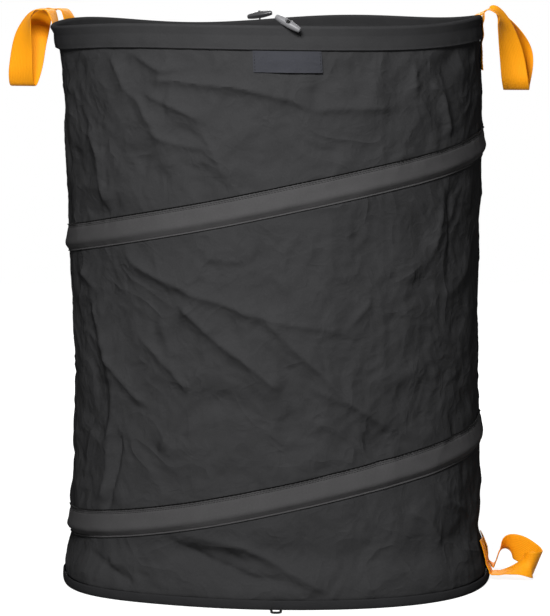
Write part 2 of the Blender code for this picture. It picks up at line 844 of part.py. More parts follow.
def revolve(name, centre, axis, profile, surface, sides=TUBE_SIDES):
    """A solid of revolution. The profile gives (place along the axis, radius)."""
    one = axis.orthogonal().normalized()
    two = axis.cross(one)
    rings = []
    for place, radius in profile:
        ring = []
        for k in range(sides):
            spin = 2 * pi * k / sides
            ring.append(centre + axis * place + one * radius * cos(spin) + two * radius * sin(spin))
        rings.append(ring)
    return loft(name, rings, surface)


def cut(target, cutter):
    """Takes the cutter out of the target and keeps the cutter as a hidden guide."""
    cutter.hide_render = True
    cutter.display_type = "WIRE"
    change = target.modifiers.new("cut_" + cutter.name, "BOOLEAN")
    change.operation = "DIFFERENCE"
    change.solver = "EXACT"
    change.object = cutter


def build_toggle(toggle, surface):
    _, way, bar = toggle_frame(toggle)
    centre = toggle_centre(toggle)
    half, waist = TOGGLE_LENGTH / 2, TOGGLE_RADIUS
    swell = waist - TOGGLE_END_RADIUS
    profile = [(-half, TOGGLE_END_RADIUS / 2), (-half + TOGGLE_END_RADIUS / 2, TOGGLE_END_RADIUS)]
    for k in range(1, TOGGLE_STEPS):
        share = 2 * k / TOGGLE_STEPS - 1
        radius = TOGGLE_END_RADIUS + swell * cos(pi / 2 * share)
        profile.append((share * (half - TOGGLE_END_RADIUS), radius))
    profile += [(half - TOGGLE_END_RADIUS / 2, TOGGLE_END_RADIUS), (half, TOGGLE_END_RADIUS / 2)]
    made = revolve(toggle.name + "_toggle", centre, bar, profile, surface, 2 * TUBE_SIDES)
    reach = waist + CUT_OVERRUN
    hole = [(-reach, CORD_RADIUS + GAP), (reach, CORD_RADIUS + GAP)]
    cut(made, revolve(toggle.name + "_toggle_hole", centre, way, hole, surface, 2 * TUBE_SIDES))
    seat = [(waist - TOGGLE_SEAT_DEPTH, TOGGLE_SEAT_RADIUS), (reach, TOGGLE_SEAT_RADIUS)]
    cut(made, revolve(toggle.name + "_toggle_seat", centre, way, seat, surface, 2 * TUBE_SIDES))
    return made


def build_toggle_cord(toggle, surface):
    """A short cord from the rim through the bar, with its end knotted outside."""
    held, way, _ = toggle_frame(toggle)
    seat = CORD_STUB + 2 * TOGGLE_RADIUS - TOGGLE_SEAT_DEPTH + GAP
    rise = KNOT_HEIGHT / 2
    profile = [
        (-CORD_RADIUS, CORD_RADIUS / 2), (-CORD_RADIUS / 2, CORD_RADIUS), (seat, CORD_RADIUS),
        (seat + rise / 4, KNOT_RADIUS * 3 / 4), (seat + rise, KNOT_RADIUS),
        (seat + 2 * rise - rise / 4, KNOT_RADIUS * 3 / 4), (seat + 2 * rise, KNOT_RADIUS / 3),
    ]
    return revolve(toggle.name + "_toggle_cord", held, way, profile, surface)


# Elastic loops


def loop_root(azimuth):
    """The middle of the line that a loop turns about, close outside the base sleeve."""
    stand = BASE_RIDGE_STAND + GAP + SLEEVE_THICKNESS / 2 + GAP + LOOP_CORD_RADIUS
    return on_bag(azimuth, 0, stand) + Vector((0, 0, LOOP_CORD_RADIUS + GAP))


def loop_stations():
    """Stations along the loop's cord: out and along the cloth, and the cord's radius there."""
    half = LOOP_SPREAD / 2
    straight = LOOP_REACH - half
    end = [(-LOOP_CORD_RADIUS * back, LOOP_CORD_RADIUS * thin) for back, thin in CORD_END_SHARES]
    first = [(reach, -half, radius) for reach, radius in end]
    first += [(0, -half, LOOP_CORD_RADIUS), (straight / 2, -half, LOOP_CORD_RADIUS)]
    bend = []
    for k in range(2 * LOFT_STEPS + 1):
        spin = pi * k / (2 * LOFT_STEPS) - pi / 2
        bend.append((straight + half * cos(spin), half * sin(spin), LOOP_CORD_RADIUS))
    second = [(reach, half, radius) for reach, _, radius in first[::-1]]
    return first + bend + second


def build_elastic_loop(name, azimuth, surface):
    """A loop that lies out on the floor, and goes over a toggle when the bag is folded flat."""
    root, out, along = loop_root(azimuth), outward(azimuth), across(azimuth)
    line = loop_stations()
    places = [root + out * reach + along * side for reach, side, _ in line]
    up = Vector((0, 0, 1))
    rings = []
    for k, (_, _, radius) in enumerate(line):
        way = (places[min(k + 1, len(places) - 1)] - places[max(k - 1, 0)]).normalized()
        level = way.cross(up)
        spins = [2 * pi * (n + 0.5) / WIRE_SIDES for n in range(WIRE_SIDES)]
        rings.append([places[k] + (level * cos(s) + up * sin(s)) * radius for s in spins])
    return loft(name, rings, surface)


def build_bag():
    build_base_panel(material("base_cloth", CLOTH, 0.6))
    build_base_sleeve(material("base_sleeve_cloth", BAND, 0.5))
    build_wall(material("wall_cloth", CLOTH, 0.55))
    build_wall_seam(material("seam_cloth", LINING, 0.5))
    build_spiral_sleeve(material("spiral_cloth", BAND, 0.5))
    build_rim_sleeve(material("rim_cloth", CLOTH, 0.5))
    build_label(material("label_weave", LABEL_GREY, 0.7))


def build_wire():
    build_coil(material("spring_steel", STEEL, 0.35, 1.0))
    build_end_cap("coil_end_cap_top", COIL_FIRST, 1, material("cap_top_plastic", TOGGLE_BLACK, 0.4))
    build_end_cap("coil_end_cap_base", COIL_LAST, -1, material("cap_base_plastic", TOGGLE_BLACK, 0.4))


def build_handles():
    for handle in (LEFT_HANDLE, RIGHT_HANDLE, BOTTOM_HANDLE):
        build_handle(handle, material(handle.name + "_webbing", WEBBING, 0.55))
        for letter, side in (("a", -1), ("b", 1)):
            surface = material(f"{handle.name}_tail_{letter}_webbing", WEBBING, 0.55)
            build_tail(handle, letter, side, surface)


def build_fastenings():
    for toggle in (FRONT_TOGGLE, REAR_TOGGLE):
        build_toggle(toggle, material(toggle.name + "_toggle_plastic", toggle.colour, 0.3))
        build_toggle_cord(toggle, material(toggle.name + "_cord", CORD_BLACK, 0.7))
        elastic = material(toggle.name + "_elastic", CORD_BLACK, 0.7)
        build_elastic_loop(toggle.name + "_loop", toggle.loop_azimuth, elastic)


def main():
    clear_scene()
    build_bag()
    build_wire()
    build_handles()
    build_fastenings()


main()
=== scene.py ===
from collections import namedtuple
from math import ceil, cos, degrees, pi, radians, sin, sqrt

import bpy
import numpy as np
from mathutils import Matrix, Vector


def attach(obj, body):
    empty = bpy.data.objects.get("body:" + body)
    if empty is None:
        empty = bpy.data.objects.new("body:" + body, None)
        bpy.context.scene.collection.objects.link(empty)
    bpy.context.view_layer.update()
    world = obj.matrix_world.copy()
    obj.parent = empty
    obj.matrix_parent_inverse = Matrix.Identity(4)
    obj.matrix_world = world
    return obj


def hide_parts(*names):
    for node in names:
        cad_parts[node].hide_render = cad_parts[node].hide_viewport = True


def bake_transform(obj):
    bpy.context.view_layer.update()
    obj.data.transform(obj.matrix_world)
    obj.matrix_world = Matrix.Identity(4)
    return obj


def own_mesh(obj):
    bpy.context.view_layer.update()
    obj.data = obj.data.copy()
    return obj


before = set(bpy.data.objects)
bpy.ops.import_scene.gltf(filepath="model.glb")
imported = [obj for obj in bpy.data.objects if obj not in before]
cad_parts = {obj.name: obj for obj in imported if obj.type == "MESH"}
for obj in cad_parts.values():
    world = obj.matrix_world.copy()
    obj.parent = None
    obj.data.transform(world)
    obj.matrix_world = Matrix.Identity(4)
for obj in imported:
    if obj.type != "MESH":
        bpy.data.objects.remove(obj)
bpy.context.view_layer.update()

# The pop-up leaf bag dressed for its picture: cloth, webbing, plastic, light and camera.
#
# Lengths are in metres, in the CAD model's frame: the bag stands on the floor at Z = 0 and its
# front faces -Y. Azimuths are in degrees, from +X towards +Y. A place on the bag is an azimuth, a
# height up the cloth and a stand, which is how far it lies outside the wall's outer face.

# Bag, as in the CAD model
RIM_HEIGHT = 0.738
BASE_WALL_RADIUS = 0.275
WAIST_WALL_RADIUS = 0.267
TOP_WALL_RADIUS = 0.2825
WAIST_HEIGHT = 0.285
FLARE_POWER = 1.6
RIM_LEAN = 0.013
LEAN_POWER = 4.0

# The rim's waves, as in the CAD model: how many go round the bag, each one's rise and its crest
Wave = namedtuple("Wave", "count rise crest")
RIM_WAVES = (
    Wave(count=1, rise=0.0030, crest=-8.0),
    Wave(count=2, rise=0.0020, crest=14.8),
    Wave(count=3, rise=0.0016, crest=16.6),
    Wave(count=4, rise=0.0026, crest=-22.6),
    Wave(count=5, rise=0.0017, crest=1.2),
)

# The base's soft corners, as in the CAD model: where each is, how far it stands out, its spread
Corner = namedtuple("Corner", "azimuth reach spread")
BASE_CORNERS = (
    Corner(azimuth=-145.0, reach=0.022, spread=21.0),
    Corner(azimuth=-47.0, reach=0.029, spread=30.0),
)
CORNER_ROW_SHARES = (1.0, 0.72, 0.40, 0.15, 0.0)
CORNER_ROW_HEIGHT = 0.06024
CORNER_EASE_ROWS = (-0.35, 0.0, 0.35)

# Where the cloth is drawn in under the rim at the left
NECK_AZIMUTH = 183.0
NECK_SPREAD = 32.0
NECK_HEIGHT = 0.698
NECK_REACH = 0.055
NECK_DEPTH = 0.0065

# Wire, as in the CAD model
COIL_START_DROP = 0.1368
COIL_PITCH = 0.3777
COIL_NOD = 0.002
COIL_SWAY = 0.0326
COIL_TWIST = 0.0163
HOOP_BLEND = 0.008
HOOP_STEP = 6.0
HOOP_MARGIN = 0.002
WIRE_STAND = 0.0034
TOP_HOOP_HEIGHT = 0.7338
BASE_HOOP_HEIGHT = 0.0050

# Cloth
WALL_THICKNESS = 0.0012
WALL_FOOT = 0.0019
WALL_TOP = 0.7248
BAND_THICKNESS = 0.0008
CLEARANCE = 0.0004

# Hem
HEM_DROP = 0.031
HEM_THICKNESS = 0.0010
HEM_LIP = 0.0022
ROLL_RADIUS = 0.0042

# Spiral band
BAND_ABOVE = 0.024
BAND_BELOW = 0.011
BAND_RIDGE = 0.0072
BAND_MARGIN = 0.002
BAND_STITCH_DROPS = (0.0022, 0.0042)
STITCH_GROOVE = 0.0005
PUCKER_PERIOD = 0.0115
PUCKER_RISE = 0.00035

# The band's outline from its lower edge up: a rise above the wire and how far it stands out there
BAND_OUTLINE = (
    (-BAND_BELOW, 0.0012),
    (-0.0104, 0.0019),
    (-0.0088, 0.0009),
    (-0.0055, 0.0036),
    (-0.0030, 0.0064),
    (-0.0010, 0.0071),
    (0.0012, BAND_RIDGE),
    (0.0035, 0.0068),
    (0.0080, 0.0054),
    (0.0135, 0.0037),
    (0.0180, 0.0022),
    (0.0212, 0.0012),
    (BAND_ABOVE, 0.0008),
)

# Base
BASE_BAND_HEIGHT = 0.0118
BASE_BAND_STAND = 0.0082
BASE_THICKNESS = 0.0016

# Stitches
STITCH_LENGTH = 0.0027
STITCH_GAP = 0.0011
THREAD_RADIUS = 0.00028
# The dark line along the spiral band's upper edge is a dashed black tube, painted shade of the seam's groove
# rather than a thread: its dash length, gap and radius
SHADE_LINE_DASH_LENGTH = 0.006
SHADE_LINE_DASH_GAP = 0.0002
SHADE_LINE_RADIUS = 0.0008
STITCH_SIDES = 6
# A stitch's rows: a share of its half length, and a lift off the cloth in thread radii
STITCH_PROFILE = ((-1.0, -0.9), (-0.6, 0.35), (0.0, 0.6), (0.6, 0.35), (1.0, -0.9))

# Camera, from the photograph: how wide its frame is, and where the bag's axis and foot lie in it
PHOTO_WIDTH = 550
PHOTO_HEIGHT = 616
AXIS_PIXEL = 276.0
CAMERA_DISTANCE = 4.6
CAMERA_HEIGHT = 0.83
CAMERA_PITCH = 5.897
FOCAL_PIXELS = 3459.0
SENSOR_SIDE = 36.0


# Shape of the bag


def smooth_step(share):
    share = np.clip(share, 0.0, 1.0)
    return share * share * (3 - 2 * share)


def run_along(places):
    """How far along a line of places each of them lies."""
    return np.concatenate([[0], np.cumsum(np.linalg.norm(np.diff(places, axis=0), axis=1))])


def unit(ways):
    """The same ways, each of length 1."""
    return ways / np.linalg.norm(ways, axis=-1, keepdims=True)


def at_stations(stations, run, rows):
    """Values at stations between rows, where run says how far along each row lies."""
    return np.stack([np.interp(stations, run, column) for column in rows.T], axis=-1)


def wall_radius(height):
    height = np.asarray(height, float)
    low = np.clip(1 - height / WAIST_HEIGHT, 0, None)
    high = np.clip((height - WAIST_HEIGHT) / (RIM_HEIGHT - WAIST_HEIGHT), 0, None)
    below = WAIST_WALL_RADIUS + (BASE_WALL_RADIUS - WAIST_WALL_RADIUS) * low**2
    above = WAIST_WALL_RADIUS + (TOP_WALL_RADIUS - WAIST_WALL_RADIUS) * high**FLARE_POWER
    return np.where(height < WAIST_HEIGHT, below, above)


def lean(height):
    return RIM_LEAN * np.clip(np.asarray(height, float) / RIM_HEIGHT, 0, None) ** LEAN_POWER


def rim_rise(azimuth):
    return sum(w.rise * np.cos(w.count * np.radians(np.asarray(azimuth) - w.crest)) for w in RIM_WAVES)


def corner_reach(azimuth, height):
    """How far the base's soft corners stand out, most at the floor."""
    reach = 0.0
    for corner in BASE_CORNERS:
        away = (azimuth - corner.azimuth + 180) % 360 - 180
        reach = reach + corner.reach * np.exp(-((away / corner.spread) ** 2))
    row = (np.asarray(height, float) - WALL_FOOT) / CORNER_ROW_HEIGHT
    rows = range(len(CORNER_ROW_SHARES))
    shares = [np.interp(row + ease, rows, CORNER_ROW_SHARES) for ease in CORNER_EASE_ROWS]
    return reach * sum(shares) / len(shares)


def neck(azimuth, height):
    """How far the cloth is drawn in under the rim at the left, where the strap pulls the rim out."""
    away = (azimuth - NECK_AZIMUTH + 180) % 360 - 180
    low = np.exp(-(((height - NECK_HEIGHT) / NECK_REACH) ** 2))
    near_hoop = np.clip((TOP_HOOP_HEIGHT - height) / (TOP_HOOP_HEIGHT - NECK_HEIGHT), 0, 1)
    return NECK_DEPTH * np.exp(-((away / NECK_SPREAD) ** 2)) * low * near_hoop


def on_bag(azimuth, height, stand):
    """Places on the bag, as an array whose last axis is X, Y, Z."""
    azimuth, height, stand = np.broadcast_arrays(azimuth, height, stand)
    turn = np.radians(azimuth)
    radius = wall_radius(height) + corner_reach(azimuth, height) + stand - neck(azimuth, height)
    rise = height + rim_rise(azimuth) * height / RIM_HEIGHT
    return np.stack([radius * np.cos(turn) - lean(height), radius * np.sin(turn), rise], axis=-1)


def vector_on_bag(azimuth, height, stand):
    return Vector([float(x) for x in on_bag(azimuth, height, stand)])


def across(azimuth):
    turn = radians(azimuth)
    return Vector((-sin(turn), cos(turn), 0))


def along_cloth(azimuth, height):
    """The level direction that follows the cloth at a height, towards growing azimuths."""
    half = HOOP_STEP / 2
    way = vector_on_bag(azimuth + half, height, 0) - vector_on_bag(azimuth - half, height, 0)
    way.z = 0
    return way.normalized()


def outward(azimuth):
    turn = radians(azimuth)
    return Vector((cos(turn), sin(turn), 0))


# The wire's route: turns run from right to front to left to back while the wire comes down


def coil_height(turn):
    level = RIM_HEIGHT - COIL_START_DROP - COIL_PITCH * turn / 360
    swing = COIL_NOD * np.sin(np.radians(turn)) - COIL_SWAY * np.cos(np.radians(turn))
    return level + swing + COIL_TWIST * np.sin(2 * np.radians(turn))


def crossing(level):
    turn = -180.0
    while coil_height(turn) > level:
        turn += HOOP_STEP
    return turn


TOP_CROSSING = crossing(TOP_HOOP_HEIGHT)
BASE_CROSSING = crossing(BASE_HOOP_HEIGHT) - HOOP_STEP
COIL_FIRST = TOP_CROSSING - 360
COIL_LAST = BASE_CROSSING + 360


def wire_height(turn):
    turn = np.asarray(turn, float)
    bare = np.clip(coil_height(turn), -1, 2)
    drop = HOOP_BLEND * np.log1p(np.exp((TOP_HOOP_HEIGHT - bare) / HOOP_BLEND))
    height = TOP_HOOP_HEIGHT - drop
    low = BASE_HOOP_HEIGHT + HOOP_BLEND * np.log1p(np.exp((height - BASE_HOOP_HEIGHT) / HOOP_BLEND))
    low = np.where(turn < TOP_CROSSING - 180, TOP_HOOP_HEIGHT, low)
    return np.where(turn > BASE_CROSSING + 180, BASE_HOOP_HEIGHT, low)


def turns_at(azimuth):
    """Every turn of the wire that passes each azimuth, stacked on a new first axis."""
    first = COIL_FIRST + (-np.asarray(azimuth, float) - COIL_FIRST) % 360
    count = ceil((COIL_LAST - COIL_FIRST) / 360)
    return np.stack([first + 360 * k for k in range(count)])


def wire_rises(azimuth, height):
    """How far a place lies above each turn of the wire, without the level hoops."""
    turns = turns_at(azimuth)
    wires = wire_height(turns)
    hoop = (wires > TOP_HOOP_HEIGHT - HOOP_MARGIN) | (wires < BASE_HOOP_HEIGHT + HOOP_MARGIN)
    return np.where(hoop, FAR_AWAY, height - wires)


# The cloth's relief


FAR_AWAY = 9.0
NOISE_ROWS = 61
FULL_TURN = 2 * pi * WAIST_WALL_RADIUS
# Crumples: length of a crumple, how far it stands out, and the seed
CRUMPLES = ((0.190, 0.0075, 5), (0.105, 0.0062, 11), (0.047, 0.0030, 23), (0.022, 0.0010, 37))
CRUMPLE_LEVEL = 0.32
CRUMPLE_BEND = 0.55
CREASE_EASE = 0.018
FOLD_STRENGTH = 2.5
WIRE_CLEARANCE = 0.0035
WIRE_CLEARANCE_EASE = 0.008
FOOT_START = 0.0076
FOOT_EASE = 0.0040
FOOT_BULGE = 0.0046
FOOT_BULGE_HEIGHT = 0.016
FOOT_BULGE_REACH = 0.026
FOOT_DIP = 0.0040
FOOT_DIP_HEIGHT = 0.066
FOOT_DIP_REACH = 0.020
BAND_SWELL = 0.0030
BAND_SWELL_REACH = 0.042
# How the relief is held back: its least shares near the spiral band and at the foot, and the
# distances over which it grows from the band and from the hem
BAND_HOLD = 0.35
BAND_HOLD_START = 0.012
BAND_HOLD_EASE = 0.030
FOOT_HOLD = 0.25
RIM_HOLD_RISE = 0.004
RIM_HOLD_EASE = 0.018


def noise(over, up, cells, seed):
    """Smooth noise from about -1 to 1 on unit cells, which comes round after so many cells over."""
    spins = np.random.default_rng(seed).uniform(0, 2 * pi, (cells, NOISE_ROWS))
    left, low = np.floor(over).astype(int), np.floor(up).astype(int)
    x, y = over - left, up - low

    def corner(i, j):
        spin = spins[(left + i) % cells, (low + j) % NOISE_ROWS]
        return np.cos(spin) * (x - i) + np.sin(spin) * (y - j)

    ease_x = x**3 * (x * (6 * x - 15) + 10)
    ease_y = y**3 * (y * (6 * y - 15) + 10)
    bottom = corner(0, 0) * (1 - ease_x) + corner(1, 0) * ease_x
    top = corner(0, 1) * (1 - ease_x) + corner(1, 1) * ease_x
    return 1.4 * (bottom * (1 - ease_y) + top * ease_y)


def crumple(azimuth, height):
    """Flat facets between creases, at a few sizes."""
    total = 0.0
    for length, stand, seed in CRUMPLES:
        cells = round(FULL_TURN / length)
        over, up = (azimuth % 360) / 360 * cells, height / length + 3
        bent_over = over + CRUMPLE_BEND * noise(over, up, cells, seed + 1)
        bent_up = up + CRUMPLE_BEND * noise(over, up, cells, seed + 2)
        crease = np.sqrt(noise(bent_over, bent_up, cells, seed) ** 2 + CREASE_EASE**2)
        total = total + stand * (CRUMPLE_LEVEL - crease)
    return total


# A fold seen at the front. Its points are in the photograph's pixels. It stands out by its rise,
# or in where that is negative, and eases off over two widths: above it and below it, or right and
# left of it where it runs down
Fold = namedtuple("Fold", "points rise above below")
FOLDS = (
    Fold(((90, 122), (97, 140), (103, 160), (104, 178), (112, 212)), 0.0040, 0.030, 0.016),
    Fold(((108, 52), (118, 68), (128, 90), (140, 100), (147, 115), (160, 133)), 0.0024, 0.007, 0.010),
    Fold(((130, 50), (145, 62), (160, 70), (182, 70)), 0.0020, 0.010, 0.005),
    Fold(((150, 82), (175, 80), (200, 84), (235, 87), (290, 100), (312, 110)), 0.0028, 0.016, 0.006),
    Fold(((312, 110), (350, 109), (392, 108)), 0.0022, 0.014, 0.006),
    Fold(((142, 92), (160, 100), (185, 112), (200, 121)), 0.0022, 0.010, 0.005),
    Fold(((148, 125), (160, 138), (175, 143), (208, 150)), 0.0022, 0.010, 0.006),
    Fold(((200, 127), (210, 145), (230, 185)), 0.0024, 0.008, 0.012),
    Fold(((122, 246), (135, 262), (155, 275), (200, 295)), 0.0028, 0.012, 0.007),
    Fold(((82, 262), (100, 290)), 0.0018, 0.010, 0.006),
    Fold(((180, 303), (220, 343), (250, 365), (283, 393)), 0.0045, 0.016, 0.010),
    Fold(((185, 292), (213, 300), (245, 312), (263, 318)), 0.0030, 0.014, 0.008),
    Fold(((263, 318), (300, 355), (325, 378), (345, 402), (390, 430)), 0.0038, 0.018, 0.009),
    Fold(((370, 290), (368, 305), (347, 328)), 0.0020, 0.008, 0.006),
    Fold(((266, 319), (300, 326), (345, 333)), 0.0020, 0.012, 0.007),
    Fold(((313, 390), (325, 395), (340, 402)), 0.0018, 0.008, 0.006),
    Fold(((312, 440), (325, 412)), 0.0016, 0.006, 0.008),
    Fold(((180, 380), (190, 388), (205, 365)), 0.0020, 0.007, 0.007),
    Fold(((103, 332), (112, 358), (135, 392), (150, 408)), 0.0026, 0.010, 0.007),
    Fold(((140, 333), (160, 355), (185, 385), (196, 388)), 0.0026, 0.010, 0.008),
    Fold(((196, 388), (180, 415), (160, 455)), 0.0024, 0.008, 0.010),
    Fold(((124, 428), (122, 465), (116, 512)), -0.0030, 0.006, 0.008),
    Fold(((95, 300), (112, 350), (116, 395), (114, 440), (112, 505)), 0.0034, 0.026, 0.016),
    Fold(((100, 548), (115, 560), (147, 588)), -0.0026, 0.006, 0.010),
    Fold(((165, 536), (200, 555), (250, 577), (290, 583)), -0.0028, 0.008, 0.012),
    Fold(((180, 533), (240, 547), (270, 560), (330, 595)), 0.0026, 0.010, 0.006),
    Fold(((413, 62), (412, 90), (416, 100)), 0.0020, 0.008, 0.006),
    Fold(((425, 80), (440, 95), (448, 140)), 0.0022, 0.009, 0.006),
    Fold(((440, 200), (437, 230), (430, 258)), 0.0022, 0.009, 0.007),
    Fold(((447, 185), (449, 225), (449, 260)), -0.0018, 0.006, 0.006),
    Fold(((400, 508), (418, 520), (432, 548)), 0.0020, 0.008, 0.007),
    Fold(((428, 478), (440, 500), (462, 512)), 0.0020, 0.008, 0.007),
)
FOLD_EASE = 0.0009
FOLD_END = 0.020
FOLD_END_SHARE = 0.25
FOLD_SIDE_EASE = 0.004


def seen_at(pixel_x, pixel_y):
    """The azimuth and height on the bag's front that the photograph shows at a pixel."""
    pitch = radians(CAMERA_PITCH)
    right = (pixel_x - PHOTO_WIDTH / 2) / FOCAL_PIXELS
    up = (PHOTO_HEIGHT / 2 - pixel_y) / FOCAL_PIXELS
    way = Vector((right, cos(pitch) + up * sin(pitch), up * cos(pitch) - sin(pitch)))
    eye = camera_place()
    height = RIM_HEIGHT / 2
    for _ in range(8):
        radius, shift = float(wall_radius(height)), float(lean(height))
        a = way.x**2 + way.y**2
        b = (eye.x + shift) * way.x + eye.y * way.y
        c = (eye.x + shift) ** 2 + eye.y**2 - radius**2
        reach = (-b - sqrt(max(b * b - a * c, 0))) / a
        place = eye + way * reach
        azimuth = degrees(np.arctan2(place.y, place.x + shift))
        height = place.z / (1 + float(rim_rise(azimuth)) / RIM_HEIGHT)
    return azimuth, height


def camera_place():
    offset = (AXIS_PIXEL - PHOTO_WIDTH / 2) / FOCAL_PIXELS * CAMERA_DISTANCE
    return Vector((-offset, -CAMERA_DISTANCE, CAMERA_HEIGHT))


def fold_relief(fold, azimuth, height):
    """How far one fold stands out, by the distance from its line and the side of it."""
    places = [seen_at(*pixel) for pixel in fold.points]
    line = np.array([(radians(a + 90) * WAIST_WALL_RADIUS, h) for a, h in places])
    turned = (azimuth + 90 + 180) % 360 - 180
    points = np.stack([np.radians(turned) * WAIST_WALL_RADIUS, height], axis=-1)
    lengths = np.linalg.norm(np.diff(line, axis=0), axis=1)
    starts = run_along(line)
    near = np.full(np.shape(height), FAR_AWAY)
    side, along = np.zeros_like(near), np.zeros_like(near)
    for k, length in enumerate(lengths):
        way = (line[k + 1] - line[k]) / length
        reach = points - line[k]
        on = np.clip(reach @ way, 0, length)
        away = reach - on[..., None] * way
        far = np.linalg.norm(away, axis=-1)
        turn_side = way[0] * reach[..., 1] - way[1] * reach[..., 0]
        closer = far < near
        near = np.where(closer, far, near)
        side = np.where(closer, turn_side, side)
        along = np.where(closer, starts[k] + on, along)
    width = fold.below + (fold.above - fold.below) * smooth_step(0.5 + side / FOLD_SIDE_EASE)
    far = np.sqrt(near**2 + FOLD_EASE**2) - FOLD_EASE
    from_end = np.minimum(along, starts[-1] - along)
    end = FOLD_END_SHARE + (1 - FOLD_END_SHARE) * smooth_step(from_end / min(FOLD_END, starts[-1] / 2))
    return FOLD_STRENGTH * fold.rise * end * np.exp(-far / width)


def relief(azimuth, height):
    """How far the wall's cloth stands out from its plain shape."""
    azimuth, height = np.broadcast_arrays(np.asarray(azimuth, float), np.asarray(height, float))
    total = crumple(azimuth, height)
    for fold in FOLDS:
        total = total + fold_relief(fold, azimuth, height)
    rises = wire_rises(azimuth, height)
    near = np.min(np.abs(rises + BAND_ABOVE / 4), axis=0)
    held = BAND_HOLD + (1 - BAND_HOLD) * smooth_step((near - BAND_HOLD_START) / BAND_HOLD_EASE)
    swell = BAND_SWELL * np.exp(-((near / BAND_SWELL_REACH) ** 2))
    bulge = FOOT_BULGE * np.exp(-(((height - FOOT_BULGE_HEIGHT) / FOOT_BULGE_REACH) ** 2))
    bulge = bulge - FOOT_DIP * np.exp(-(((height - FOOT_DIP_HEIGHT) / FOOT_DIP_REACH) ** 2))
    foot = smooth_step((height - FOOT_START) / FOOT_EASE)
    top = smooth_step((RIM_HEIGHT - HEM_DROP - height + RIM_HOLD_RISE) / RIM_HOLD_EASE)
    calm = FOOT_HOLD + (1 - FOOT_HOLD) * smooth_step((height - BASE_BAND_HEIGHT) / FOOT_BULGE_REACH)
    return (total * held * calm + swell + bulge) * foot * top


def wall_stand(azimuth, height):
    """The relief, held back where the wire lies close outside the wall."""
    stand = relief(azimuth, height)
    near = np.min(np.abs(wire_rises(azimuth, height)), axis=0)
    clear = smooth_step((near - WIRE_CLEARANCE) / WIRE_CLEARANCE_EASE)
    return np.minimum(stand, stand * clear)


def band_stand(rise):
    """How far the spiral band stands out over the wall at a rise above the wire."""
    rises, stands = zip(*BAND_OUTLINE)
    return np.interp(rise, rises, stands)


def over_band(azimuth, height):
    """How far what lies over the wall must stand out to clear the spiral band."""
    rises = wire_rises(azimuth, height)
    inside = (rises > -BAND_BELOW - BAND_MARGIN) & (rises < BAND_ABOVE + BAND_MARGIN)
    stands = np.where(inside, band_stand(np.clip(rises, -BAND_BELOW, BAND_ABOVE)), 0.0)
    return np.max(stands, axis=0)


# Mesh making


def mesh_piece(name, points, faces, uvs, finish, smooth_angle=50):
    """A smooth-shaded piece. The UVs are in metres, one pair for each corner of each face."""
    mesh = bpy.data.meshes.new(name)
    mesh.from_pydata(np.asarray(points).tolist(), [], [list(f) for f in faces])
    layer = mesh.uv_layers.new(name="metres")
    layer.data.foreach_set("uv", np.asarray(uvs, np.float32).ravel())
    mesh.polygons.foreach_set("use_smooth", [True] * len(mesh.polygons))
    mesh.set_sharp_from_angle(angle=radians(smooth_angle))
    mesh.materials.append(finish)
    piece = bpy.data.objects.new(name, mesh)
    bpy.context.scene.collection.objects.link(piece)
    return piece


def volume_of(rings, around):
    """Six times the volume inside the rings, negative where they run the wrong way round."""
    following = np.roll(rings, -1, axis=0) if around else rings[1:]
    here = rings if around else rings[:-1]
    a, b = here, np.roll(here, -1, axis=1)
    c, d = np.roll(following, -1, axis=1), following
    middle = rings.reshape(-1, 3).mean(axis=0)
    a, b, c, d = a - middle, b - middle, c - middle, d - middle
    return (np.cross(a, b) * c).sum() + (np.cross(a, c) * d).sum()


def loft(name, rings, finish, around=False, smooth_angle=50):
    """Joins closed rings of as many points each.

    Around joins the last ring to the first. Without it both are capped.
    """
    rings = np.asarray(rings, float)
    if volume_of(rings, around) < 0:
        rings = rings[:, ::-1]
    count, size = rings.shape[:2]
    centres = rings.mean(axis=1)
    along = run_along(np.concatenate([centres, centres[:1]]))
    middle = rings[count // 2]
    round_it = run_along(np.concatenate([middle, middle[:1]]))
    last = count if around else count - 1
    i, j = np.meshgrid(np.arange(last), np.arange(size), indexing="ij")
    i, j = i.ravel(), j.ravel()
    ahead, beside = (i + 1) % count, (j + 1) % size
    faces = np.stack([i * size + j, i * size + beside, ahead * size + beside, ahead * size + j], axis=1)
    corners = ((i, j), (i, j + 1), (i + 1, j + 1), (i + 1, j))
    uvs = np.stack([np.stack([along[a], round_it[b]], 1) for a, b in corners], axis=1).reshape(-1, 2)
    faces = faces.tolist()
    if not around:
        first_cap, last_cap = list(range(size))[::-1], [(count - 1) * size + k for k in range(size)]
        faces += [first_cap, last_cap]
        flat = np.stack([np.zeros(size), round_it[:-1]], 1)
        uvs = np.concatenate([uvs, flat, flat])
    return mesh_piece(name, rings.reshape(-1, 3), faces, uvs, finish, smooth_angle)


def dashes(name, lines, finish, length=STITCH_LENGTH, gap=STITCH_GAP, radius=THREAD_RADIUS):
    """Rows of stitches, or of dashes along the spiral band's upper edge that paint the shade of its seam. Each
    line is a list of places along it, with the ways out of the cloth.
    """
    shares, lifts = (np.array(column) for column in zip(*STITCH_PROFILE))
    blocks = []
    for places, outs in lines:
        places, outs = np.asarray(places, float), np.asarray(outs, float)
        run = run_along(places)
        count = max(int(run[-1] / (length + gap)), 1)
        middles = (np.arange(count) + 0.5) * run[-1] / count
        offsets = shares[None] * length / 2
        stations = np.clip(middles[:, None] + offsets, 0, run[-1])
        centre = at_stations(stations, run, places)
        out = unit(at_stations(stations, run, outs))
        way = centre[:, -1:] - centre[:, :1]
        way /= np.maximum(np.linalg.norm(way, axis=-1, keepdims=True), 1e-9)
        side = np.cross(way, out)
        centre = centre + out * (lifts[None, :, None] * radius)
        spins = [2 * pi * k / STITCH_SIDES for k in range(STITCH_SIDES)]
        blocks.append(np.stack([centre + (side * cos(s) + out * sin(s)) * radius for s in spins], axis=2))
    return stitch_mesh(name, blocks, finish)


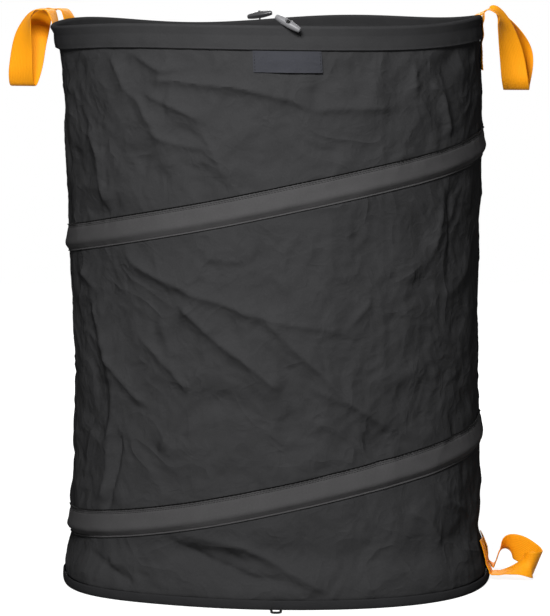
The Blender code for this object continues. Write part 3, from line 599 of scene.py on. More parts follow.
def stitch_mesh(name, blocks, finish):
    """One piece of blocks of stitches. A block's axes are its stitches, rows, sides and X, Y, Z."""
    points = np.concatenate([block.reshape(-1, 3) for block in blocks])
    faces, start = [], 0
    for block in blocks:
        count, rows, sides, _ = block.shape
        for n in range(count):
            base = start + n * rows * sides
            for r in range(rows - 1):
                for s in range(sides):
                    t = (s + 1) % sides
                    faces.append((base + r * sides + s, base + r * sides + t,
                                  base + (r + 1) * sides + t, base + (r + 1) * sides + s))
            faces.append(tuple(base + s for s in range(sides))[::-1])
            faces.append(tuple(base + (rows - 1) * sides + s for s in range(sides)))
        start += count * rows * sides
    corners = sum(len(f) for f in faces)
    return mesh_piece(name, points, faces, np.zeros((corners, 2)), finish)


def thick_line(line, thickness):
    """The closed outlines of sheets that follow lines of (stand, height) points, stacked on axis 0."""
    ways = unit(np.diff(line, axis=1))
    normals = np.stack([-ways[..., 1], ways[..., 0]], axis=-1)
    first = np.concatenate([normals[:, :1], normals], axis=1)
    second = np.concatenate([normals, normals[:, -1:]], axis=1)
    middle = unit(first + second)
    grow = np.maximum((middle * first).sum(axis=-1, keepdims=True), 0.5)
    offset = middle * thickness / 2 / grow
    return np.concatenate([line + offset, (line - offset)[:, ::-1]], axis=1)


# Materials


def shader(name, colour, roughness, specular=0.5, metallic=0.0):
    """A new material, its tree and its shader, with the settings that most need."""
    made = bpy.data.materials.new(name)
    made.use_nodes = True
    surface = made.node_tree.nodes["Principled BSDF"]
    surface.inputs["Base Color"].default_value = (*colour, 1)
    surface.inputs["Roughness"].default_value = roughness
    surface.inputs["Specular IOR Level"].default_value = specular
    surface.inputs["Metallic"].default_value = metallic
    return made, made.node_tree, surface


def texture_place(tree, source):
    return tree.nodes.new("ShaderNodeTexCoord").outputs[source]


def noise_node(tree, place, scale, detail=4.0, roughness=0.55, distortion=0.0):
    made = tree.nodes.new("ShaderNodeTexNoise")
    made.inputs["Scale"].default_value = scale
    made.inputs["Detail"].default_value = detail
    made.inputs["Roughness"].default_value = roughness
    made.inputs["Distortion"].default_value = distortion
    tree.links.new(place, made.inputs["Vector"])
    return made.outputs["Fac"]


def wave_node(tree, place, period, direction, distortion=0.0):
    made = tree.nodes.new("ShaderNodeTexWave")
    made.wave_type = "BANDS"
    made.bands_direction = direction
    made.wave_profile = "SIN"
    made.inputs["Scale"].default_value = 2 * pi / 20 / period
    made.inputs["Distortion"].default_value = distortion
    made.inputs["Detail"].default_value = 1.0
    tree.links.new(place, made.inputs["Vector"])
    return made.outputs["Fac"]


def math_node(tree, operation, one, two=0.5):
    made = tree.nodes.new("ShaderNodeMath")
    made.operation = operation
    for k, value in enumerate((one, two)):
        if isinstance(value, (int, float)):
            made.inputs[k].default_value = value
        else:
            tree.links.new(value, made.inputs[k])
    return made.outputs["Value"]


def spread(tree, value, low, high):
    """Maps 0 to 1 onto low to high."""
    made = tree.nodes.new("ShaderNodeMapRange")
    made.inputs["To Min"].default_value = low
    made.inputs["To Max"].default_value = high
    tree.links.new(value, made.inputs["Value"])
    return made.outputs["Result"]


def bump(tree, surface, height, distance, strength=1.0, below=None):
    made = tree.nodes.new("ShaderNodeBump")
    made.inputs["Distance"].default_value = distance
    made.inputs["Strength"].default_value = strength
    tree.links.new(height, made.inputs["Height"])
    if below is not None:
        tree.links.new(below, made.inputs["Normal"])
    if surface is not None:
        tree.links.new(made.outputs["Normal"], surface.inputs["Normal"])
    return made.outputs["Normal"]


def blend_colours(tree, share, dark, light):
    made = tree.nodes.new("ShaderNodeMix")
    made.data_type = "RGBA"
    made.inputs["A"].default_value = (*dark, 1)
    made.inputs["B"].default_value = (*light, 1)
    tree.links.new(share, made.inputs["Factor"])
    return made.outputs["Result"]


def scaled(colour, factor):
    return tuple(c * factor for c in colour)


def paint(tree, surface, share, dark, light):
    """Makes the surface's colour go from dark to light with the share."""
    tree.links.new(blend_colours(tree, share, dark, light), surface.inputs["Base Color"])


def roughen(tree, surface, share, low, high):
    """Makes the surface's roughness go from low to high with the share."""
    tree.links.new(spread(tree, share, low, high), surface.inputs["Roughness"])


def cloth_material(name, colour, roughness, thread=0.0009, crumple_rise=0.0006, creases=()):
    """Coated plain weave: crossed threads, small crumples and a slightly uneven coating."""
    made, tree, surface = shader(name, colour, roughness, specular=0.0)
    metres = texture_place(tree, "UV")
    mottle = noise_node(tree, metres, 28.0, 5.0, 0.6)
    wear = noise_node(tree, metres, 420.0, 2.0)
    tone = math_node(tree, "MULTIPLY", math_node(tree, "ADD", mottle, wear), 0.5)
    paint(tree, surface, spread(tree, tone, -0.2, 1.2), scaled(colour, 0.82), scaled(colour, 1.2))
    roughen(tree, surface, noise_node(tree, metres, 60.0), roughness - 0.09, roughness + 0.09)
    warp = wave_node(tree, metres, thread, "X", 0.3)
    weft = wave_node(tree, metres, thread, "Y", 0.3)
    weave = math_node(tree, "MULTIPLY", warp, weft)
    rough_cloth = bump(tree, None, noise_node(tree, metres, 75.0, 4.0, 0.6, 0.6), crumple_rise)
    for scale, depth in creases:
        ridge = math_node(tree, "SUBTRACT", noise_node(tree, metres, scale, 2.0, 0.5, 0.8), 0.5)
        ridge = math_node(tree, "ABSOLUTE", ridge)
        rough_cloth = bump(tree, None, ridge, -depth, 1.0, rough_cloth)
    bump(tree, surface, weave, 0.00012, 0.6, rough_cloth)
    return made


def webbing_material(name, colour):
    """Woven webbing: ribs along it, crossed by picks, with firmer edges."""
    made, tree, surface = shader(name, colour, 0.62, 0.16)
    metres = texture_place(tree, "UV")
    ribs = wave_node(tree, metres, 0.0023, "Y", 0.25)
    picks = wave_node(tree, metres, 0.0012, "X", 0.4)
    weave = math_node(tree, "MULTIPLY", spread(tree, ribs, 0.35, 1.0), spread(tree, picks, 0.45, 1.0))
    fuzz = noise_node(tree, metres, 260.0, 4.0)
    tone = math_node(tree, "MULTIPLY", weave, spread(tree, fuzz, 0.75, 1.2))
    deep = (colour[0] * 0.86, colour[1] * 0.72, colour[2] * 0.5)
    paint(tree, surface, tone, deep, colour)
    roughen(tree, surface, fuzz, 0.5, 0.72)
    low = bump(tree, None, fuzz, 0.0002)
    bump(tree, surface, weave, 0.00028, 1.0, low)
    return made


def plastic_material(name, colour, roughness):
    """Moulded plastic with a faint spark-eroded grain and handling marks."""
    made, tree, surface = shader(name, colour, roughness, 0.5)
    place = texture_place(tree, "Object")
    marks = noise_node(tree, place, 900.0, 3.0)
    paint(tree, surface, noise_node(tree, place, 120.0), scaled(colour, 0.9), scaled(colour, 1.08))
    roughen(tree, surface, marks, roughness - 0.06, roughness + 0.12)
    bump(tree, surface, marks, 0.00003, 0.6)
    return made


def steel_material(name, colour):
    made, tree, surface = shader(name, colour, 0.32, metallic=1.0)
    place = texture_place(tree, "Object")
    draw = noise_node(tree, place, 350.0, 3.0)
    paint(tree, surface, draw, scaled(colour, 0.75), scaled(colour, 1.15))
    roughen(tree, surface, draw, 0.24, 0.45)
    bump(tree, surface, draw, 0.00004)
    return made


def cord_material(name, colour):
    """A braided cord: two crossed spirals of strands."""
    made, tree, surface = shader(name, colour, 0.6, 0.05)
    metres = texture_place(tree, "UV")
    one = wave_node(tree, metres, 0.0016, "DIAGONAL")
    two = wave_node(tree, metres, 0.0011, "X")
    braid = math_node(tree, "MAXIMUM", one, two)
    paint(tree, surface, braid, scaled(colour, 0.6), scaled(colour, 1.7))
    roughen(tree, surface, braid, 0.72, 0.5)
    bump(tree, surface, braid, 0.0002)
    return made


# Creases in the wall's shading, each a noise scale and a depth
WALL_CREASES = ((11.0, 0.012), (30.0, 0.0028))
WALL_CLOTH = cloth_material("wall_cloth", (0.032, 0.032, 0.033), 0.52, creases=WALL_CREASES)
HEM_CLOTH = cloth_material("hem_cloth", (0.031, 0.031, 0.032), 0.50, crumple_rise=0.0003)
BAND_CLOTH = cloth_material("band_cloth", (0.054, 0.053, 0.054), 0.45, crumple_rise=0.0002)
BASE_CLOTH = cloth_material("base_cloth", (0.022, 0.022, 0.023), 0.55)
LABEL_CLOTH = cloth_material("label_cloth", (0.037, 0.038, 0.044), 0.6, thread=0.0006, crumple_rise=0.0001)
WEBBING = webbing_material("webbing_orange", (1.0, 0.40, 0.007))
CORD = cord_material("cord_black", (0.012, 0.012, 0.012))
GREY_PLASTIC = plastic_material("plastic_grey", (0.115, 0.115, 0.120), 0.45)
BLACK_PLASTIC = plastic_material("plastic_black", (0.030, 0.030, 0.032), 0.28)
STEEL = steel_material("spring_steel", (0.30, 0.30, 0.31))
BLACK_THREAD = cord_material("thread_black", (0.016, 0.016, 0.016))
# Near-black that paints the shade of the seam's groove along the spiral band's upper edge
SEAM_SHADE_BLACK = cord_material("seam_shade_painted", (0.004, 0.004, 0.004))
ORANGE_THREAD = cord_material("thread_orange", (0.86, 0.30, 0.008))


# Cloth pieces


WALL_COLUMNS = 600
WALL_ROWS = 250
SEAM_AZIMUTH = 84.0
SEAM_WIDTH = 0.020
SEAM_THICKNESS = 0.0008
SEAM_STITCH_SHARE = 0.6
BASE_INSET = 0.0016
BASE_RIPPLE = 0.0004
# The base's rings as shares of its radius, closer together at its edge
BASE_SHARES = np.concatenate([[0.0006], np.linspace(0.02, 0.9, 23), np.linspace(0.93, 1.0, 4)])
# The base band's outline, as (stand, height), from its upper edge down
BASE_BAND_OUTLINE = (
    (0.0069, BASE_BAND_HEIGHT),
    (0.0074, 0.0114),
    (0.0078, 0.0104),
    (0.0080, 0.0088),
    (0.0081, 0.0070),
    (BASE_BAND_STAND, 0.0052),
    (0.0080, 0.0034),
    (0.0076, 0.0018),
    (0.0070, 0.0006),
)
# Its waves, each a rise, how many go round the bag and a start in degrees
BASE_BAND_WAVES = ((0.0003, 47, 0), (0.0002, 31, 40))
# Below this height the base band doesn't wave, and it waves fully this much further up
BASE_BAND_FIRM = 0.004
BASE_BAND_EASE = 0.006
# How thick a spiral band goes under the base band before it swells
BASE_BAND_ROOM = 0.004
SHOULDER_DROP = 0.0075
# The hem's waves, each a rise, cells round the bag, cells a metre of height and a seed
HEM_WAVES = ((0.0009, 46, 30, 71), (0.0006, 120, 45, 72))
HEM_INNER_WAVE = (0.0009, 60, 40, 73)
HEM_LIP_STANDS = (0.0003, 0.0009, 0.0002)
HEM_BELLY = 0.0020
HEM_BELLY_ONSET = 0.45
HEM_OVER_BAND = 0.0010
# The spiral band's course: its least height, and how far its end goes up under the hem
BAND_LEAST_HEIGHT = 0.0135
BAND_TUCK = 0.004
BAND_TUCK_BELOW = 0.007
BAND_EDGE_STAND = 0.0012
# How much of the wall's relief the band takes on: on its ridge, and more towards its edges
BAND_RELIEF_SHARE = 0.55
BAND_RELIEF_GROWTH = 0.45
BAND_LEAST_RELIEF = -0.001
PUCKER_START = 0.009
PUCKER_EASE = 0.010
SLACK_RISE = 0.0005
SLACK_LENGTH = 0.028
SLACK_CELLS = 240
BAND_STEP = 0.8
# The spiral band's rows, as rises above the wire, from its upper edge down
BAND_RISES = np.array((
    BAND_ABOVE, 0.0232, 0.0224, 0.0218, 0.0212, 0.0204, 0.0198, 0.0190, 0.0172, 0.0150, 0.0122, 0.0094, 0.0066,
    0.0040, 0.0022, 0.0008, -0.0006, -0.0020, -0.0034, -0.0050, -0.0068, -0.0082, -0.0088, -0.0096, -0.0104,
    -BAND_BELOW,
))
GROOVE_WIDTH = 0.0006


def flatten(piece):
    """Holds the piece on the base's body, with a mesh of its own."""
    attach(piece, "base")
    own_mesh(piece)


def round_azimuths(count):
    return np.arange(count) * 360 / count


def sheet_rings(azimuths, heights, stand, thickness):
    """Outlines of a sheet on the bag: over its outer face and back over its inner face."""
    outer = on_bag(azimuths, heights, stand)
    inner = on_bag(azimuths, heights, stand - thickness)[:, ::-1]
    return np.concatenate([outer, inner], axis=1)


def build_wall():
    azimuths = round_azimuths(WALL_COLUMNS)[:, None]
    heights = np.linspace(WALL_FOOT, WALL_TOP, WALL_ROWS)[None]
    rings = sheet_rings(azimuths, heights, wall_stand(azimuths, heights), WALL_THICKNESS)
    piece = loft("wall_cloth", rings, WALL_CLOTH, around=True)
    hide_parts("wall_panel")
    flatten(piece)


def build_seam():
    """The strip inside the back where the wall's ends are joined, with its stitches."""
    half = degrees(SEAM_WIDTH / 2 / WAIST_WALL_RADIUS)
    azimuths = np.linspace(SEAM_AZIMUTH - half, SEAM_AZIMUTH + half, 9)[:, None]
    heights = np.linspace(WALL_FOOT + 0.001, RIM_HEIGHT - HEM_DROP - 0.001, WALL_ROWS)[None]
    stand = wall_stand(azimuths, heights) - WALL_THICKNESS - CLEARANCE
    piece = loft("seam_strip", sheet_rings(azimuths, heights, stand, SEAM_THICKNESS), BAND_CLOTH)
    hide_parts("wall_seam")
    flatten(piece)
    rows = []
    for share in (-SEAM_STITCH_SHARE, SEAM_STITCH_SHARE):
        line = np.linspace(WALL_FOOT + 0.004, RIM_HEIGHT - HEM_DROP - 0.004, 160)
        at = np.full_like(line, SEAM_AZIMUTH + half * share)
        depth = wall_stand(at, line) - WALL_THICKNESS - CLEARANCE - SEAM_THICKNESS
        rows.append((on_bag(at, line, depth), -outward_rows(at)))
    threads = dashes("seam_stitches", rows, BLACK_THREAD)
    flatten(threads)


def outward_rows(azimuths):
    turn = np.radians(azimuths)
    return np.stack([np.cos(turn), np.sin(turn), np.zeros_like(turn)], axis=-1)


def build_base():
    """The flat cloth disc that the bag stands on."""
    azimuths = round_azimuths(180)
    rings = []
    for azimuth in azimuths:
        tops, bottoms = [], []
        place = vector_on_bag(azimuth, 0.0, BASE_BAND_STAND - BASE_INSET)
        for share in BASE_SHARES:
            ripple = BASE_RIPPLE * sin(radians(azimuth * 7)) * sin(share * 21) * (1 - share)
            tops.append((place.x * share, place.y * share, BASE_THICKNESS + ripple))
            bottoms.append((place.x * share, place.y * share, 0.0))
        rings.append(tops + bottoms[::-1])
    piece = loft("base_cloth", np.array(rings), BASE_CLOTH, around=True)
    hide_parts("base_panel")
    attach(piece, "base")


def build_base_band():
    """The piped band over the wire's lowest hoop."""
    azimuths = round_azimuths(360)
    waves = [rise * np.sin(np.radians(azimuths * count + start)) for rise, count, start in BASE_BAND_WAVES]
    under = over_band(azimuths, BASE_BAND_HEIGHT)
    line = np.repeat(np.array(BASE_BAND_OUTLINE)[None], len(azimuths), axis=0)
    weights = np.clip((line[..., 1] - BASE_BAND_FIRM) / BASE_BAND_EASE, 0, 1)
    line[..., 0] += weights * (sum(waves) + np.clip(under - BASE_BAND_ROOM, 0, None))[:, None]
    rings = thick_line(line, BAND_THICKNESS)
    places = on_bag(azimuths[:, None], rings[..., 1], rings[..., 0])
    piece = loft("base_band", places, BASE_CLOTH, around=True)
    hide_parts("base_sleeve")
    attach(piece, "base")


def hem_wave(wave, way_round, heights):
    rise, cells, rows, seed = wave
    return rise * noise(way_round * cells, heights[None] * rows, cells, seed)


def hem_lines(azimuths):
    """Lines of (stand, height) from the hem's outer edge over the roll to its inner edge."""
    leaf_foot = RIM_HEIGHT - HEM_DROP
    shoulder = TOP_HOOP_HEIGHT - SHOULDER_DROP
    lip_heights = [leaf_foot - 0.0003, leaf_foot + HEM_LIP / 2, leaf_foot + HEM_LIP]
    heights = np.concatenate([lip_heights, np.linspace(leaf_foot + 0.004, shoulder, 9)])
    flat = CLEARANCE + HEM_THICKNESS / 2
    way_round = (azimuths[:, None] % 360) / 360
    wave = sum(hem_wave(wave, way_round, heights) for wave in HEM_WAVES)
    share = (heights - leaf_foot) / (shoulder - leaf_foot)
    belly = HEM_BELLY * np.sin(pi * np.clip(share, 0, 1) ** HEM_BELLY_ONSET)[None]
    lip = np.array([*HEM_LIP_STANDS] + [0.0] * 9)[None]
    stand = flat + belly + lip + np.clip(wave + 0.0004, 0, None) * (1 - share**3)[None]
    cover = over_band(azimuths[:, None], heights[None])
    stand = np.maximum(stand, np.where(cover > 0, cover + HEM_OVER_BAND, 0))
    outer = np.stack([stand, np.broadcast_to(heights, stand.shape)], axis=-1)
    bend = ROLL_RADIUS - HEM_THICKNESS / 2
    spins = np.repeat(np.linspace(0, pi, 13)[None], len(azimuths), axis=0)
    roll_stand = -WALL_THICKNESS / 2 + bend * np.cos(spins)
    roll = np.stack([roll_stand, TOP_HOOP_HEIGHT + bend * np.sin(spins)], axis=-1)
    inside = -WALL_THICKNESS - CLEARANCE - HEM_THICKNESS / 2
    inner_heights = np.linspace(shoulder, leaf_foot, 9)
    inner_wave = hem_wave(HEM_INNER_WAVE, way_round, inner_heights)
    inner_stand = inside - np.clip(inner_wave + 0.0003, 0, None)
    inner = np.stack([inner_stand, np.broadcast_to(inner_heights, inner_stand.shape)], axis=-1)
    return np.concatenate([outer, roll, inner], axis=1)


def build_hem():
    azimuths = round_azimuths(480)
    rings = thick_line(hem_lines(azimuths), HEM_THICKNESS)
    piece = loft("rim_hem", on_bag(azimuths[:, None], rings[..., 1], rings[..., 0]), HEM_CLOTH, around=True)
    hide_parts("rim_sleeve")
    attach(piece, "rim")


def band_turns():
    """Angles along the coil where its band shows between the base band and the hem."""
    turns = np.arange(COIL_FIRST, COIL_LAST, BAND_STEP)
    heights = wire_height(turns)
    return turns[(heights > BAND_LEAST_HEIGHT) & (heights < RIM_HEIGHT - HEM_DROP + BAND_TUCK)]


def band_place(turns, rise):
    """Places on the spiral band's outer face, at rises above the wire, as (stand, height)."""
    wires = wire_height(turns)
    top = WALL_TOP - wires
    bottom = wires - BASE_BAND_HEIGHT + BAND_TUCK_BELOW
    rise = np.clip(rise, -bottom, top)
    height = wires + rise
    stand = band_stand(rise)
    edge = smooth_step((stand.max() - stand) / (stand.max() - BAND_EDGE_STAND))
    arc = np.radians(turns) * WAIST_WALL_RADIUS
    pucker = np.sin(2 * pi * arc / PUCKER_PERIOD + 2.2 * np.sin(arc * 37) + 1.3 * np.sin(arc * 91))
    fade = smooth_step((rise - PUCKER_START) / PUCKER_EASE)
    cloth = np.clip(relief(-turns, height), BAND_LEAST_RELIEF, None)
    slack = SLACK_RISE * noise((arc / SLACK_LENGTH) % SLACK_CELLS, rise * 60 + 7, SLACK_CELLS, 91)
    cloth = cloth * (BAND_RELIEF_SHARE + BAND_RELIEF_GROWTH * edge)
    stand = stand + cloth + PUCKER_RISE * pucker * fade * (1 - fade * 0.2)
    return stand + slack * smooth_step((rise + 0.008) / 0.01), height


def build_spiral():
    turns = band_turns()
    offsets = [BAND_ABOVE - drop - BAND_RISES for drop in BAND_STITCH_DROPS]
    grooves = sum(STITCH_GROOVE * np.exp(-((offset / GROOVE_WIDTH) ** 2)) for offset in offsets)
    stand, height = band_place(turns[:, None], BAND_RISES[None])
    rings = sheet_rings(-turns[:, None], height, stand - grooves[None], BAND_THICKNESS)
    piece = loft("spiral_band", rings, BAND_CLOTH)
    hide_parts("spiral_sleeve")
    flatten(piece)
    band_length()
    build_spiral_stitches()


def band_length():
    turns = band_turns()
    places = on_bag(-turns, wire_height(turns), WIRE_STAND)
    return float(np.linalg.norm(np.diff(places, axis=0), axis=1).sum())


def build_spiral_stitches():
    turns = band_turns()
    rows = []
    for drop in BAND_STITCH_DROPS:
        stand, height = band_place(turns, np.full_like(turns, BAND_ABOVE - drop))
        rows.append((on_bag(-turns, height, stand - STITCH_GROOVE / 2), outward_rows(-turns)))
    stand, height = band_place(turns, np.full_like(turns, -BAND_BELOW + 0.0014))
    rows.append((on_bag(-turns, height, stand), outward_rows(-turns)))
    threads = dashes("spiral_stitches", rows, BLACK_THREAD)
    # A dashed black tube along the band's upper edge: painted shade of the seam's groove
    edge_stand, edge_height = band_place(turns, np.full_like(turns, BAND_ABOVE + SHADE_LINE_RADIUS))
    edge = [(on_bag(-turns, edge_height, edge_stand), outward_rows(-turns))]
    seam_shade = dashes("spiral_seam_shade", edge, SEAM_SHADE_BLACK, SHADE_LINE_DASH_LENGTH, SHADE_LINE_DASH_GAP,
                    SHADE_LINE_RADIUS)
    flatten(seam_shade)
    flatten(threads)


LABEL_WIDTH = 0.086
LABEL_HEIGHT = 0.0268
LABEL_THICKNESS = 0.0008
LABEL_AZIMUTH = -85.0
LABEL_DROP = 0.0318
LABEL_STAND = 0.0012
LABEL_CURL = 0.0026
LABEL_WAVE = 0.0005


def label_place(azimuths, heights):
    """The label's face: it hangs from its sewn top edge and curls a little at its foot."""
    share = (RIM_HEIGHT - LABEL_DROP - heights) / LABEL_HEIGHT
    side = (azimuths - LABEL_AZIMUTH) / label_half()
    curl = LABEL_CURL * share**2 * (0.5 + 0.5 * np.sin(2.1 * side + 0.6))
    curl = curl + LABEL_WAVE * np.sin(5 * side + 2) * share
    under = np.clip(relief(azimuths, heights), 0, None)
    return LABEL_STAND + LABEL_THICKNESS + np.clip(curl, 0, None) + under


def label_half():
    return degrees(LABEL_WIDTH / 2 / float(wall_radius(RIM_HEIGHT - LABEL_DROP)))


def build_label():
    half = label_half()
    azimuths = np.linspace(LABEL_AZIMUTH - half, LABEL_AZIMUTH + half, 61)[:, None]
    top = RIM_HEIGHT - LABEL_DROP
    foot = top - LABEL_HEIGHT
    heights = np.linspace(top, foot, 25)[None]
    rings = sheet_rings(azimuths, heights, label_place(azimuths, heights), LABEL_THICKNESS)
    piece = loft("label_cloth", rings, LABEL_CLOTH)
    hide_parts("label")
    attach(piece, "rim")
    rows = []
    for side in (-1, 1):
        line = np.linspace(top - 0.001, foot + 0.001, 20)
        at = np.full_like(line, LABEL_AZIMUTH + side * half * 0.955)
        rows.append((on_bag(at, line, label_place(at, line)), outward_rows(at)))
    threads = dashes("label_stitches", rows, BLACK_THREAD)
    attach(threads, "rim")


# Straps: their roots are the CAD model's, their courses follow the photograph more closely


STRAP_WIDTH = 0.035
STRAP_THICKNESS = 0.0016
STRAP_GAP = 0.0004
# Half a round of a strap's section: shares of its half width and of its half thickness
STRAP_SECTION_SHARES = (-1.0, -0.965, -0.88, -0.6, -0.3, 0.0, 0.3, 0.6, 0.88, 0.965, 1.0)
STRAP_SECTION_RISES = (0.35, 0.8, 1.0, 0.93, 0.97, 1.0, 0.97, 0.93, 1.0, 0.8, 0.35)
# Where the sewn ends lie on the wall: drops below the rim, and heights above the floor
TOP_TAIL_DROPS = (0.072, 0.062, 0.052, 0.043, 0.036)
BASE_TAIL_HEIGHTS = (0.052, 0.044, 0.036, 0.028, 0.021)
BASE_TAIL_FOLD_HEIGHT = 0.0125
TAIL_SLACK = 0.0004
FOLD_REACH = 0.0042
TOP_TACK_LENGTH = 0.026
BASE_TACK_LENGTH = 0.016
TACK_MARGIN = 0.004
SKEW_START_SHARE = 0.16
HANGING_STATION_SHARES = (
    (0.0, 0.0, 1.0, 0.0),
    (0.14, 0.01, 1.0, 0.04),
    (0.36, 0.10, 1.0, 0.16),
    (0.62, 0.34, 1.0, 0.38),
    (0.83, 0.62, 1.0, 0.68),
    (0.94, 0.87, 0.86, 0.92),
    (0.99, 0.975, 0.45, 1.0),
    (1.0, 1.0, 0.0, 1.0),
)
LYING_STATION_SHARES = (
    (0.0, 0.0, 1.0, 0.0),
    (0.13, 0.0, 1.02, 0.06),
    (0.34, 0.30, 1.04, 0.28),
    (0.62, 0.75, 1.0, 0.6),
    (0.86, 0.97, 0.8, 0.9),
    (0.97, 1.0, 0.42, 1.0),
    (1.0, 1.0, 0.0, 1.0),
)
Handle = namedtuple(
    "Handle",
    "name azimuth yaw base_height root_stand root_rise half_spacing half_bight reach travel up_way "
    "hang_power skew skew_way lift bulge",
)
HANDLES = (
    Handle(
        name="left", azimuth=164.0, yaw=0.0, base_height=RIM_HEIGHT, root_stand=0.011, root_rise=0.013,
        half_spacing=0.029, half_bight=0.020, reach=0.049, travel=0.103, up_way=-1, hang_power=2.0,
        skew=0.0, skew_way=1, lift=0.0, bulge=0.0,
    ),
    Handle(
        name="right", azimuth=5.0, yaw=-10.0, base_height=RIM_HEIGHT, root_stand=0.014, root_rise=0.0076,
        half_spacing=0.028, half_bight=0.020, reach=0.038, travel=0.108, up_way=-1, hang_power=1.2,
        skew=0.036, skew_way=1, lift=0.0, bulge=0.016,
    ),
    Handle(
        name="bottom", azimuth=-7.0, yaw=0.0, base_height=0.0, root_stand=0.0165, root_rise=0.0085,
        half_spacing=0.029, half_bight=0.022, reach=0.056, travel=0.0120, up_way=1, hang_power=1.0,
        skew=0.016, skew_way=-1, lift=0.024, bulge=0.0,
    ),
)
# How early and how broadly the bottom handle's raised strand rises
LIFT_ONSET = 0.48
LIFT_BREADTH = 0.7
# Which way the bottom handle's width turns over: a share up and a share outward
LYING_SPREAD_UP = 0.85
LYING_SPREAD_OUT = 0.35
STRAP_STEP = 0.0022


def smooth_rows(rows, steps):
    """A smooth curve through rows of numbers, with some steps from each to the next."""
    rows = [np.array(r, float) for r in rows]
    padded = [2 * rows[0] - rows[1]] + rows + [2 * rows[-1] - rows[-2]]
    out = []
    for k in range(1, len(padded) - 2):
        a, b, c, d = padded[k - 1:k + 3]
        for n in range(steps):
            s = n / steps
            out.append(0.5 * (2 * b + (c - a) * s + (2 * a - 5 * b + 4 * c - d) * s**2
                              + (3 * b - a - 3 * c + d) * s**3))
    return out + [rows[-1]]


def handle_axes(handle):
    return outward(handle.azimuth + handle.yaw), across(handle.azimuth + handle.yaw)


def handle_root(handle):
    held = vector_on_bag(handle.azimuth, handle.base_height, handle.root_stand)
    return held + Vector((0, 0, handle.root_rise))


def loop_rows(handle):
    """The loop's middle line and width directions, each row a place and a direction."""
    lying = handle.name == "bottom"
    shares = LYING_STATION_SHARES if lying else HANGING_STATION_SHARES
    turn_in, turn_out = (2, 4) if lying else (1, 1)
    first = []
    for out, on, spacing, turned in shares:
        near = handle.half_bight + (handle.half_spacing - handle.half_bight) * (1 - turned)
        rise = handle.up_way * handle.travel * on**handle.hang_power
        first.append((handle.reach * out, rise, -near * spacing, turned))
    second = [(out, up, -near, 1 + (1 - turned) ** turn_out) for out, up, near, turned in first[-2::-1]]
    first = [(out, up, near, turned**turn_in) for out, up, near, turned in first]
    out, along = handle_axes(handle)
    up = Vector((0, 0, 1))
    spread_way = (up * LYING_SPREAD_UP + out * LYING_SPREAD_OUT).normalized() if lying else out
    root = handle_root(handle)
    rows = []
    for reach, rise, near, turned in smooth_rows(first + second, 5):
        share = reach / handle.reach
        skewed = float(smooth_step((share - SKEW_START_SHARE) / (1 - SKEW_START_SHARE)))
        shift = handle.skew_way * handle.skew * skewed
        raised = sin(pi * min(share, 1) ** LIFT_ONSET) ** LIFT_BREADTH
        lift = handle.lift * max(near, 0) / handle.half_spacing * raised
        fallen = min(abs(rise) / handle.travel, 1)
        bulge = handle.bulge * max(near, 0) / handle.half_spacing * sin(pi * fallen)
        place = root + out * (reach + bulge) + up * (rise + lift) + along * (near + shift)
        angle = pi / 2 * turned
        rows.append((*place, *(along * cos(angle) + spread_way * sin(angle))))
    return rows


def tail_rows(handle, side):
    """A sewn end, from its free end up to the fold."""
    out, along = handle_axes(handle)
    fold = handle_root(handle) + along * side * handle.half_spacing
    rise = 0 if handle.name == "bottom" else handle.root_rise / handle.root_stand
    arrive = (out + Vector((0, 0, rise))).normalized()
    before = fold - arrive * FOLD_REACH
    azimuth = degrees(np.arctan2(fold.y, fold.x + float(lean(handle.base_height))))
    flat = STRAP_GAP + STRAP_THICKNESS / 2
    over = azimuth + np.linspace(-1, 1, 9) * degrees(STRAP_WIDTH / 2 / WAIST_WALL_RADIUS)

    def on_cloth(height):
        return float(np.max(wall_stand(over, height))) + flat + TAIL_SLACK, height

    if handle.name == "bottom":
        band = BASE_BAND_STAND + 0.0006 + flat
        line = [on_cloth(height) for height in BASE_TAIL_HEIGHTS] + [(band, BASE_TAIL_FOLD_HEIGHT)]
    else:
        hem = HEM_THICKNESS + STRAP_GAP + flat
        line = [on_cloth(RIM_HEIGHT - drop) for drop in TOP_TAIL_DROPS]
        line += [
            (hem + 0.0018, RIM_HEIGHT - HEM_DROP + 0.004),
            (hem + 0.0014, RIM_HEIGHT - 0.020),
            (hem + 0.0008, RIM_HEIGHT - 0.012),
            (ROLL_RADIUS + flat, TOP_HOOP_HEIGHT - 0.001),
            (ROLL_RADIUS + flat, RIM_HEIGHT),
        ]
    # The loop's width has turned over where it comes to its second sewn end
    way = -side
    rows = []
    for stand, height in line:
        rows.append((*vector_on_bag(azimuth, height, stand), *(along_cloth(azimuth, height) * way)))
    return rows + [(*before, *(along * way))]


def resample(rows, step):
    rows = np.array(rows)
    run = run_along(rows[:, :3])
    count = int(run[-1] / step) + 1
    stations = np.linspace(0, run[-1], count)
    return at_stations(stations, run, rows), run[-1]


def strap_rings(rows):
    """Rings round a strap: a flat section with rounded edges and a slightly crowned face."""
    places, widths = rows[:, :3], rows[:, 3:]
    ways = unit(np.gradient(places, axis=0))
    sides = unit(widths - ways * (widths * ways).sum(axis=1, keepdims=True))
    faces = np.cross(ways, sides)
    shares, rise = np.array(STRAP_SECTION_SHARES), np.array(STRAP_SECTION_RISES)
    across_it = (np.concatenate([shares, shares[::-1]]) * STRAP_WIDTH / 2)[None, :, None]
    out_of_it = (np.concatenate([rise, -rise[::-1]]) * STRAP_THICKNESS / 2)[None, :, None]
    rings = places[:, None] + sides[:, None] * across_it + faces[:, None] * out_of_it
    return rings, sides, faces


